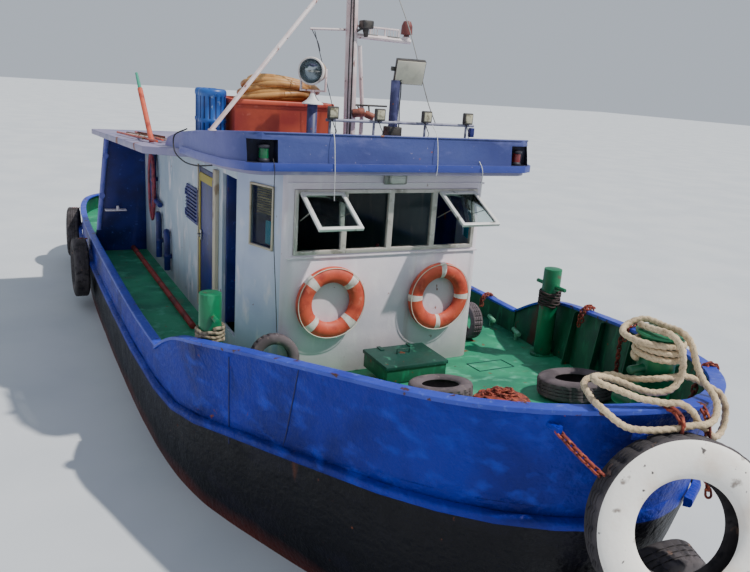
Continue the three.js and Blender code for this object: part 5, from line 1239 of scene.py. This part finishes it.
for x, y, radius in ((1.850, -1.522, 0.138), (1.545, -1.502, 0.118)):
    waist = radius - 0.006
    wall = [(0.0, 3.031), (radius - 0.010, 3.031), (radius, 3.045), (radius, 3.075), (waist, 3.090),
            (waist, 3.300), (radius, 3.310), (radius, 3.335), (waist, 3.345), (waist, 3.555),
            (radius, 3.570), (radius, 3.600), (radius - 0.008, 3.620), (radius - 0.020, 3.628),
            (radius - 0.026, 3.612), (0.0, 3.610)]
    body = turned(wall, 84, closed=False)
    for vertex in body.data.vertices:
        reach = math.hypot(vertex.co.x, vertex.co.y)
        if 3.085 < vertex.co.z < 3.56 and reach < radius - 0.004:
            turn = math.atan2(vertex.co.y, vertex.co.x)
            shrink = 1 - FLUTE_DEPTH * max(0, math.cos(FLUTES * turn)) ** 2
            vertex.co.x *= shrink
            vertex.co.y *= shrink
    body.data.materials.append(drum_blue.material)
    body.data.materials.append(drum_shade.material)
    for face in body.data.polygons:
        reach = math.hypot(face.center.x, face.center.y)
        if 3.095 < face.center.z < 3.55 and reach < waist * 0.97:
            face.material_index = 1
    body.location = (x, y, 0)
    drum_pieces.append(body)
    drum_pieces.append(bar((x - 0.05, y, 3.606), (x - 0.05, y, 3.629), 0.026, drum_blue.material,
                           ease=0.003))
drum_pieces.append(block((1.640, -1.545, 3.232), (1.730, -1.482, 3.270), black_wire.material, 0.004))
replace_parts(drum_pieces[0], "drums")
fitted("roof_drums", "boat", "drum_plastic", *drum_pieces)


# EXHAUST, HELM AND ROOF POLES
# A rusted funnel pipe up the aft wall, the wooden console and wheel, and poles on the roof: one painted
# and raked up at the starboard edge, six thin ones laid flat beside it.
rusted = Finish("rusted_steel", (112, 58, 38), 0.9)
rusted.stain((70, 38, 30), 0.42, 0.62, 7, 8)
rusted.stain((160, 88, 50), 0.56, 0.70, 18, 8, shift=3)
rusted.rise(rusted.noise(60, 6), 0.003, 0.9)
eased("exhaust_pipe", "funnel", rusted.material, 0.004, 40)
FUNNEL_X, FUNNEL_Y = -3.06, 0.9
fitted("funnel_bands", "boat", "rusted_steel",
       *[bar((FUNNEL_X, FUNNEL_Y, z), (FUNNEL_X, FUNNEL_Y, z + 0.05), 0.082, rusted.material, ease=0.004,
             sides=24)
         for z in (1.2, 1.9, 2.42)],
       block((FUNNEL_X, 0.86, 1.90), (-2.902, 0.94, 1.94), rusted.material))
wood = Finish("helm_wood", (128, 92, 58), 0.5)
wood.stain((86, 58, 36), 0.45, 0.62, 12, 5, stretch=(1, 0.1, 1))
eased("helm_console", "console", wood.material, 0.010)
eased("helm_wheel", "wheel", wood.material, 0.003, 50)
gauge = Finish("gauge_face", (30, 32, 34), 0.3)
fitted("console_gear", "boat", "console_wood",
       block((2.46, -0.40, 1.982), (2.74, -0.10, 2.060), gauge.material, 0.010),
       block((2.46, 0.14, 1.982), (2.72, 0.34, 2.100), grey_metal.material, 0.010),
       bar((2.56, 0.06, 1.982), (2.56, 0.06, 2.14), 0.010, handle_steel.material),
       bar((2.56, 0.06, 2.13), (2.56, 0.06, 2.165), 0.020, hose_red.material, ease=0.006))
pole_red = Finish("pole_orange", (204, 92, 66), 0.5)
pole_red.stain((160, 62, 48), 0.5, 0.66, 8, 6)
pole_green = Finish("pole_green", (60, 150, 124), 0.5)
fitted("roof_pole", "boat", "mast_paint",
       bar((0.62, -1.885, 2.982), (0.02, -1.90, 3.535), 0.030, pole_red.material),
       bar((0.02, -1.90, 3.535), (-0.17, -1.905, 3.710), 0.022, pole_green.material, 0.016))
laid_poles = (
    ((1.00, -1.90, 3.024), (-1.30, -1.98, 2.915), 0.014, pole_red),
    ((0.80, -1.80, 3.020), (-1.60, -1.70, 2.900), 0.012, pole_red),
    ((0.95, -1.72, 3.022), (-1.00, -1.90, 2.920), 0.012, ring_white),
    ((0.90, -1.66, 3.018), (-1.40, -1.84, 2.906), 0.013, wood),
    ((0.55, -1.97, 3.006), (-0.80, -1.80, 2.930), 0.012, wood),
    ((0.70, -1.76, 3.044), (-0.90, -1.78, 2.956), 0.011, rusted),
)
fitted("roof_planks", "boat", "mast_paint",
       *[bar(start, end, radius, finish.material) for start, end, radius, finish in laid_poles])


# FENDER ROWS
# Worn truck tyres hung on chains over a rubbing strake of flat bar welded below the deck edge.
tyre_rubber = Finish("tyre_rubber", (58, 54, 56), 0.9)
tyre_rubber.stain((88, 82, 84), 0.46, 0.66, 4, 6)
tyre_rubber.stain((34, 32, 36), 0.54, 0.68, 14, 6, shift=2)
tyre_rubber.stain((120, 96, 84), 0.64, 0.72, 9, 8, shift=5)
tyre_rubber.rise(tyre_rubber.noise(40, 5), 0.003, 0.8)


def tyre_casing(outer, hole, width, steps=96):
    """A tyre about Z: beads, bulged sidewalls, rounded shoulders and a tread cut into ribs and blocks."""
    half, side = width / 2, outer - hole
    near = [  # one half of the outside, from bead to tread: radius, and share of the half width
        (hole, 0.62), (hole + 0.04 * side, 0.74), (hole + 0.16 * side, 0.86), (hole + 0.34 * side, 0.97),
        (hole + 0.52 * side, 1.0), (hole + 0.70 * side, 0.97), (hole + 0.84 * side, 0.90),
        (hole + 0.94 * side, 0.80), (outer - 0.004, 0.70), (outer, 0.60), (outer, 0.38),
        (outer - 0.012, 0.36), (outer - 0.012, 0.30), (outer, 0.28), (outer, 0.05), (outer - 0.012, 0.03),
    ]
    far = [(reach, -share) for reach, share in reversed(near)]
    inside = [(hole + 0.10 * side, -0.52), (outer - 0.30 * side, -0.62), (outer - 0.22 * side, -0.30),
              (outer - 0.22 * side, 0.30), (outer - 0.30 * side, 0.62), (hole + 0.10 * side, 0.52)]
    casing = turned([(reach, share * half) for reach, share in near + far + inside], steps)
    for vertex in casing.data.vertices:
        reach = math.hypot(vertex.co.x, vertex.co.y)
        turn = round(math.atan2(vertex.co.y, vertex.co.x) / (2 * math.pi) * steps) % 4
        if reach > outer - 0.0005 and turn == 0:
            shrink = (reach - 0.012) / reach  # a groove across the tread
            vertex.co.x *= shrink
            vertex.co.y *= shrink
    rounded_look(casing, 35)
    return casing


def chain_run(points, link, wire, material):
    """Welded chain: one link modelled, then copied along the run, each turned a quarter from the last."""
    bpy.ops.mesh.primitive_torus_add(major_segments=12, minor_segments=6, major_radius=0.30 * link,
                                     minor_radius=wire)
    first = bpy.context.object
    for vertex in first.data.vertices:
        vertex.co.x += math.copysign(0.20 * link, vertex.co.x)
    rounded_look(first, 60)
    first.data.materials.append(material)
    run = smooth_run(points, link - 2 * wire)
    links = []
    for k, (a, b) in enumerate(zip(run, run[1:])):
        copy = first.copy()
        copy.data = first.data.copy()
        bpy.context.collection.objects.link(copy)
        turn = (b - a).to_track_quat("X", "Z").to_matrix().to_4x4()
        quarter = Matrix.Rotation(math.pi / 2 * (k % 2) + 0.3, 4, "X")
        copy.data.transform(Matrix.Translation((a + b) / 2) @ turn @ quarter)
        links.append(copy)
    only(first)
    bpy.ops.object.delete()
    only(*links)
    bpy.ops.object.join()
    return bpy.context.object


chain_rust = Finish("chain_rust", (150, 66, 50), 0.85)
chain_rust.stain((96, 44, 40), 0.42, 0.6, 14, 6)
chain_rust.stain((196, 110, 76), 0.58, 0.7, 34, 6, shift=4)
chain_rust.rise(chain_rust.noise(120, 4), 0.001, 0.8)
TYRE_OUTER, TYRE_HOLE, TYRE_WIDTH = 0.470, 0.265, 0.230
STRAKE_PROUD = 0.055
STRAKE_AFT, STRAKE_FORE = -6.41, 6.49
# place along the hull, the hull's half width there and the turn of its side in degrees
port_tyres = [(-5.60, 2.061, 8.6), (-3.30, 2.215, 1.1), (-1.00, 2.237, 0.2), (1.50, 2.230, -0.6),
              (3.75, 1.911, -22.9), (4.65, 1.576, -20.9)]
stbd_tyres = [(-5.60, 2.061, 8.6), (-2.90, 2.221, 0.7)]


def deck_height(x):
    """The deck's height at the side, x metres forward of amidships."""
    return DECK_LEVEL + max(0.0, x - SLOPE_START) * DECK_SLOPE


hull_half = {}
for vertex in node["hull"].data.vertices:
    if STRAKE_AFT < vertex.co.x < STRAKE_FORE:
        place = round(vertex.co.x, 3)
        hull_half[place] = max(hull_half.get(place, 0), vertex.co.y)
for side, word, row in ((1, "port", port_tyres), (-1, "stbd", stbd_tyres)):
    path = [Vector((x, half, 0)) for x, half in sorted(hull_half.items())]
    verts, faces = [], []
    for k, p in enumerate(path):
        way = (path[min(k + 1, len(path) - 1)] - path[max(k - 1, 0)]).normalized()
        out = Vector((-way.y, way.x, 0)) * STRAKE_PROUD
        top = deck_height(p.x) - 0.080
        for share, drop in ((0, 0.070), (0.85, 0.064), (1, 0.050), (1, 0.018), (0.85, 0.006), (0, 0)):
            verts.append((p.x + share * out.x, side * (p.y + share * out.y), top - drop))
    for k in range(len(path) - 1):
        for j in range(6):
            a, b = 6 * k + j, 6 * k + (j + 1) % 6
            faces.append((a, b, b + 6, a + 6))
    faces += [tuple(range(6)), tuple(6 * (len(path) - 1) + j for j in range(6))]
    mesh = bpy.data.meshes.new("strake")
    mesh.from_pydata(verts, [], faces)
    strake = bpy.data.objects.new("strake", mesh)
    bpy.context.collection.objects.link(strake)
    faced_out(strake)
    rounded_look(strake, 50)
    strake.data.materials.append(side_blue)
    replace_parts(strake, "fender_row_" + word)
    fitted("strake_" + word, "boat", "hull_paint", strake)
    hung, chains = [], []
    for x, half, turn in row:
        level = deck_height(x)
        y, z = half + STRAKE_PROUD + TYRE_WIDTH / 2 - 0.012, level - 0.260
        casing = tyre_casing(TYRE_OUTER, TYRE_HOLE, TYRE_WIDTH)
        casing.data.transform(Matrix.Translation((x, side * y, z))
                              @ Matrix.Rotation(side * math.radians(turn), 4, "Z")
                              @ Matrix.Rotation(math.pi / 2, 4, "X"))
        casing.data.materials.append(tyre_rubber.material)
        hung.append(casing)
        chains.append(chain_run([(x, side * (half + 0.052), level + 0.20),
                                 (x, side * (half + 0.12), level + 0.18),
                                 (x, side * y, z + TYRE_OUTER - 0.02),
                                 (x, side * y, z + TYRE_OUTER - 0.10)],
                                0.085, 0.010, chain_rust.material))
    fitted("hung_tyres_" + word, "boat", "tyre_black", *hung)
    fitted("tyre_chains_" + word, "boat", "rusted_steel", *chains)


# STEM FENDER
# A big tyre hung square across the stem, its outer sidewall painted white, over a smaller bare one.
white_wall = Finish("white_wall", (250, 246, 238), 0.7)
white_wall.stain((232, 214, 196), 0.52, 0.74, 3, 5)
white_wall.stain((150, 140, 132), 0.63, 0.70, 9, 8, shift=3)
white_wall.stain((92, 86, 84), 0.68, 0.72, 22, 8, shift=6)
white_wall.rise(white_wall.noise(30, 5), 0.003, 0.7)
for name, place, outer, hole, turn, lift, white in (
        ("stem_tyre", (6.990, -0.266, 1.570), 0.523, 0.293, -24.5, 16.1, True),
        ("low_tyre", (6.640, 0.0, 0.700), 0.480, 0.270, 0.0, -20.8, False)):
    casing = tyre_casing(outer, hole, TYRE_WIDTH, 128)
    casing.data.materials.append(tyre_rubber.material)
    casing.data.materials.append(white_wall.material)
    if white:
        for face in casing.data.polygons:
            reach = math.hypot(face.center.x, face.center.y)
            if face.center.z > 0.30 * TYRE_WIDTH and hole - 0.01 < reach < outer - 0.012:
                face.material_index = 1
    casing.data.transform(Matrix.Translation(place) @ Matrix.Rotation(math.radians(turn), 4, "Z")
                          @ Matrix.Rotation(-math.radians(lift), 4, "Y")
                          @ Matrix.Rotation(math.pi / 2, 4, "Y")
                          @ Matrix.Translation((0, 0, -TYRE_WIDTH / 2)))
    if white:
        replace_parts(casing, "stem_fender")
    fitted(name, "boat", "tyre_white" if white else "tyre_black", casing)
fitted("stem_chains", "boat", "rusted_steel",
       chain_run([(6.352, -0.716, 1.960), (6.48, -0.655, 1.868), (6.631, -0.583, 1.777)],
                 0.062, 0.0085, chain_rust.material),
       chain_run([(6.952, -0.235, 1.075), (6.86, -0.13, 1.04), (6.772, -0.02, 1.118)],
                 0.085, 0.011, chain_rust.material),
       chain_run([(6.690, 0.02, 2.150), (6.735, 0.03, 2.10), (6.765, 0.035, 1.95), (6.800, 0.03, 1.80),
                  (6.850, 0.02, 1.66)], 0.055, 0.008, chain_rust.material))
fitted("bow_lugs", "boat", "hull_paint",
       block((6.255, -0.735, 1.950), (6.375, -0.700, 1.985), side_blue, 0.008),
       block((6.345, -0.728, 1.945), (6.372, -0.690, 1.992), side_blue, 0.008))
fitted("bow_eye", "boat", "hull_paint",
       bar((6.560, -0.345, 1.985), (6.625, -0.300, 1.985), 0.055, side_blue, 0.030, sides=3, ease=0.004))


# SPARE TYRES AND CHAIN HEAP
# Two tyres lie on the foredeck, the smaller beside a heap of rusty chain; one leans on the house's corner
# and one stands at its port side.
grey_rubber = Finish("grey_rubber", (98, 88, 92), 0.9)
grey_rubber.stain((72, 64, 68), 0.45, 0.62, 5, 6)
grey_rubber.stain((126, 112, 108), 0.60, 0.72, 14, 7, shift=4)
grey_rubber.rise(grey_rubber.noise(50, 5), 0.002, 0.8)
deck_lean = -math.atan(DECK_SLOPE)


def stowed_tyre(name, cad_name, outer, hole, width, place):
    """A loose tyre, set in its place by a matrix, that stands for a CAD node."""
    casing = tyre_casing(outer, hole, width)
    casing.data.transform(place)
    casing.data.materials.append(grey_rubber.material)
    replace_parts(casing, cad_name)
    fitted(name, "boat", "tyre_black", casing)


for name, cad_name, (x, y), outer, hole, width in (
        ("spare_tyre", "deck_tyre", (4.640, 1.100), 0.340, 0.178, 0.185),
        ("heap_tyre", "tyre_and_chain_heap", (4.190, -0.060), 0.290, 0.165, 0.170)):
    lift = width / 2 + 0.004
    centre = (x + lift * math.sin(deck_lean), y, deck_height(x) + lift / math.cos(deck_lean))
    stowed_tyre(name, cad_name, outer, hole, width,
                Matrix.Translation(centre) @ Matrix.Rotation(deck_lean, 4, "Y"))
stowed_tyre("leaning_tyre", "shoulder_tyre", 0.240, 0.140, 0.160,
            Matrix.Translation((3.060, -1.215, 1.192)) @ Matrix.Rotation(math.radians(-8), 4, "Z")
            @ Matrix.Rotation(-math.radians(12), 4, "Y") @ Matrix.Rotation(math.pi / 2, 4, "Y")
            @ Matrix.Translation((0, 0, -0.080)))
stowed_tyre("upright_tyre", "port_side_tyre", 0.220, 0.125, 0.150,
            Matrix.Translation((2.385, 1.462, 1.122)) @ Matrix.Rotation(math.pi / 2, 4, "X"))
HEAP_X, HEAP_Y = 4.520, 0.360
heap_foot = (HEAP_X, HEAP_Y, deck_height(HEAP_X) + 0.004)
bpy.ops.mesh.primitive_ico_sphere_add(subdivisions=5, radius=1)
mound = bpy.context.object
mound.scale = (0.262, 0.262, 0.105)
mound.rotation_euler = (0, deck_lean, 0)
mound.location = heap_foot
bpy.ops.object.transform_apply(location=True, rotation=True, scale=True)
only(mound)
bpy.ops.object.mode_set(mode="EDIT")
bpy.ops.mesh.select_all(action="SELECT")
bpy.ops.mesh.bisect(plane_co=heap_foot, plane_no=(math.sin(deck_lean), 0, 1), clear_inner=True,
                    use_fill=True)
bpy.ops.object.mode_set(mode="OBJECT")
mound.data.materials.append(chain_rust.material)
shaker = random.Random(7)
heaped = [mound]
for layer in range(4):  # rings of chain, smaller to the top
    reach = 0.235 - 0.052 * layer
    lift = 0.018 + 0.026 * layer
    loop = []
    for k in range(15 - 2 * layer):
        angle = 2 * math.pi * k / (15 - 2 * layer) + 0.7 * layer
        away = reach * shaker.uniform(0.82, 1.05)
        x, y = HEAP_X + away * math.cos(angle), HEAP_Y + away * math.sin(angle)
        loop.append((x, y, deck_height(x) + lift + 0.034 * shaker.uniform(0.2, 1.0)))
    heaped.append(chain_run(loop, 0.075, 0.010, chain_rust.material))
for k in range(7):  # and ends of chain thrown across them
    angle = 0.9 * k
    loop = []
    for j in range(5):
        t = -1 + j / 2
        x, y = HEAP_X + 0.2 * t * math.cos(angle), HEAP_Y + 0.2 * t * math.sin(angle)
        loop.append((x, y, deck_height(x) + 0.112 - 0.080 * t * t + 0.010 * shaker.uniform(-1, 1)))
    heaped.append(chain_run(loop, 0.070, 0.010, chain_rust.material))
fitted("chain_heap", "boat", "rusted_steel", *heaped)


# DECK AND RAIL FITTINGS
# Chain ends over the port rail and at the stem, cleats, a flush hatch's outline in the deck and the welds
# between the bow plates. Each run of chain has its points, the length of a link and the radius of its wire.
rail_runs = []
for x, y, z, drop in ((1.81, 2.150, 1.196, 0.12), (3.89, 1.862, 1.687, 0.16), (4.75, 1.556, 1.824, 0.52)):
    rail_runs.append(([(x, y - 0.10, z - drop), (x, y - 0.095, z - 0.02), (x, y - 0.03, z + 0.045),
                       (x, y + 0.05, z + 0.03), (x, y + 0.06, z - 0.06)], 0.055, 0.008))
    rail_runs.append(([(x + 0.05, y - 0.115, z - 0.10), (x + 0.04, y - 0.09, z),
                       (x + 0.05, y - 0.03, z + 0.045), (x + 0.04, y + 0.04, z + 0.04)], 0.050, 0.008))
rail_runs.append(([(6.02, 0.800, 1.50), (6.03, 0.815, 1.72), (6.03, 0.850, 1.93), (6.03, 0.905, 2.035),
                   (6.04, 0.985, 2.030), (6.05, 1.02, 1.95)], 0.060, 0.009))
rail_runs.append(([(6.56, -0.20, 2.115), (6.62, -0.19, 2.145), (6.69, -0.18, 2.145), (6.735, -0.175, 2.10),
                   (6.735, -0.17, 1.97)], 0.055, 0.009))
fitted("rail_chains", "boat", "rusted_steel",
       *[chain_run(points, link, wire, chain_rust.material) for points, link, wire in rail_runs])
cleat_green = Finish("cleat_green", (110, 176, 140), 0.5)
cleat_green.stain((60, 130, 96), 0.45, 0.65, 16, 6)
cleats = []
for x, y, z in ((2.10, 2.03, 1.00), (2.62, 2.02, 1.00)):
    turn = Matrix.Translation((x, y, z)) @ Matrix.Rotation(math.radians(-20), 4, "Z")
    horn = bar((-0.11, 0, 0), (0.11, 0, 0), 0.028, cleat_green.material, ease=0.006)
    foot = bar((0, 0, -0.10), (0, 0, 0), 0.022, cleat_green.material)
    for piece in (horn, foot):
        piece.data.transform(turn)
        cleats.append(piece)
fitted("cleats", "boat", "bulwark_paint", *cleats)
line_dark = Finish("seam_dark", (16, 60, 56), 0.8)
corners = [(x, y, deck_height(x) + 0.001)
           for x, y in ((3.22, 0.90), (3.54, 0.84), (3.54, 1.28), (3.24, 1.34), (3.22, 0.90))]
fitted("flush_hatch_outline", "boat", "deck_paint",
       *[bar(start, end, 0.006, line_dark.material, sides=8) for start, end in zip(corners, corners[1:])])
plate_seam = Finish("seam_blue", (8, 16, 84), 0.6)
seam_lines = (
    [(3.849, -1.902, 1.600), (3.845, -1.901, 1.554), (3.834, -1.895, 1.347), (3.823, -1.889, 1.136),
     (3.812, -1.883, 0.960), (3.806, -1.880, 0.800)],
    [(4.640, -1.618, 1.765), (4.632, -1.620, 1.731), (4.586, -1.626, 1.546), (4.539, -1.632, 1.364),
     (4.490, -1.639, 1.175), (4.452, -1.643, 1.070)],
)
fitted("plate_seams", "boat", "hull_paint", *[tube(run, 0.006, plate_seam.material) for run in seam_lines])


# LOOSE WIRES AND LINES
# Thin wires and white lines that hang from the visor, stiff with paint: the finish and radius of each,
# and its run.
hanging = (
    (black_wire, 0.007, [(1.93, -1.79, 3.24), (1.80, -1.885, 3.16), (1.86, -1.90, 3.03),
                         (2.10, -1.875, 2.955), (2.45, -1.83, 2.95), (2.75, -1.76, 2.99)]),
    (black_wire, 0.004, [(3.115, -1.32, 3.10), (3.150, -1.315, 3.02), (3.135, -1.31, 2.85),
                         (3.02, -1.26, 2.40), (2.96, -1.20, 1.80), (2.94, -1.17, 1.42)]),
    (white_wire, 0.0035, [(3.025, -0.745, 3.335), (3.10, -0.748, 3.325), (3.148, -0.742, 3.05),
                          (3.142, -0.735, 2.97), (3.10, -0.71, 2.72)]),
    (white_wire, 0.0035, [(2.96, 0.36, 3.44), (3.085, 0.352, 3.335), (3.146, 0.350, 3.05),
                          (3.142, 0.350, 2.96)]),
    (white_wire, 0.004, [(3.10, 0.87, 3.10), (3.150, 0.88, 3.03), (3.138, 0.90, 2.95), (3.08, 0.93, 2.72)]),
)
fitted("visor_wires", "boat", "mast_paint",
       *[tube(run, radius, finish.material) for finish, radius, run in hanging])
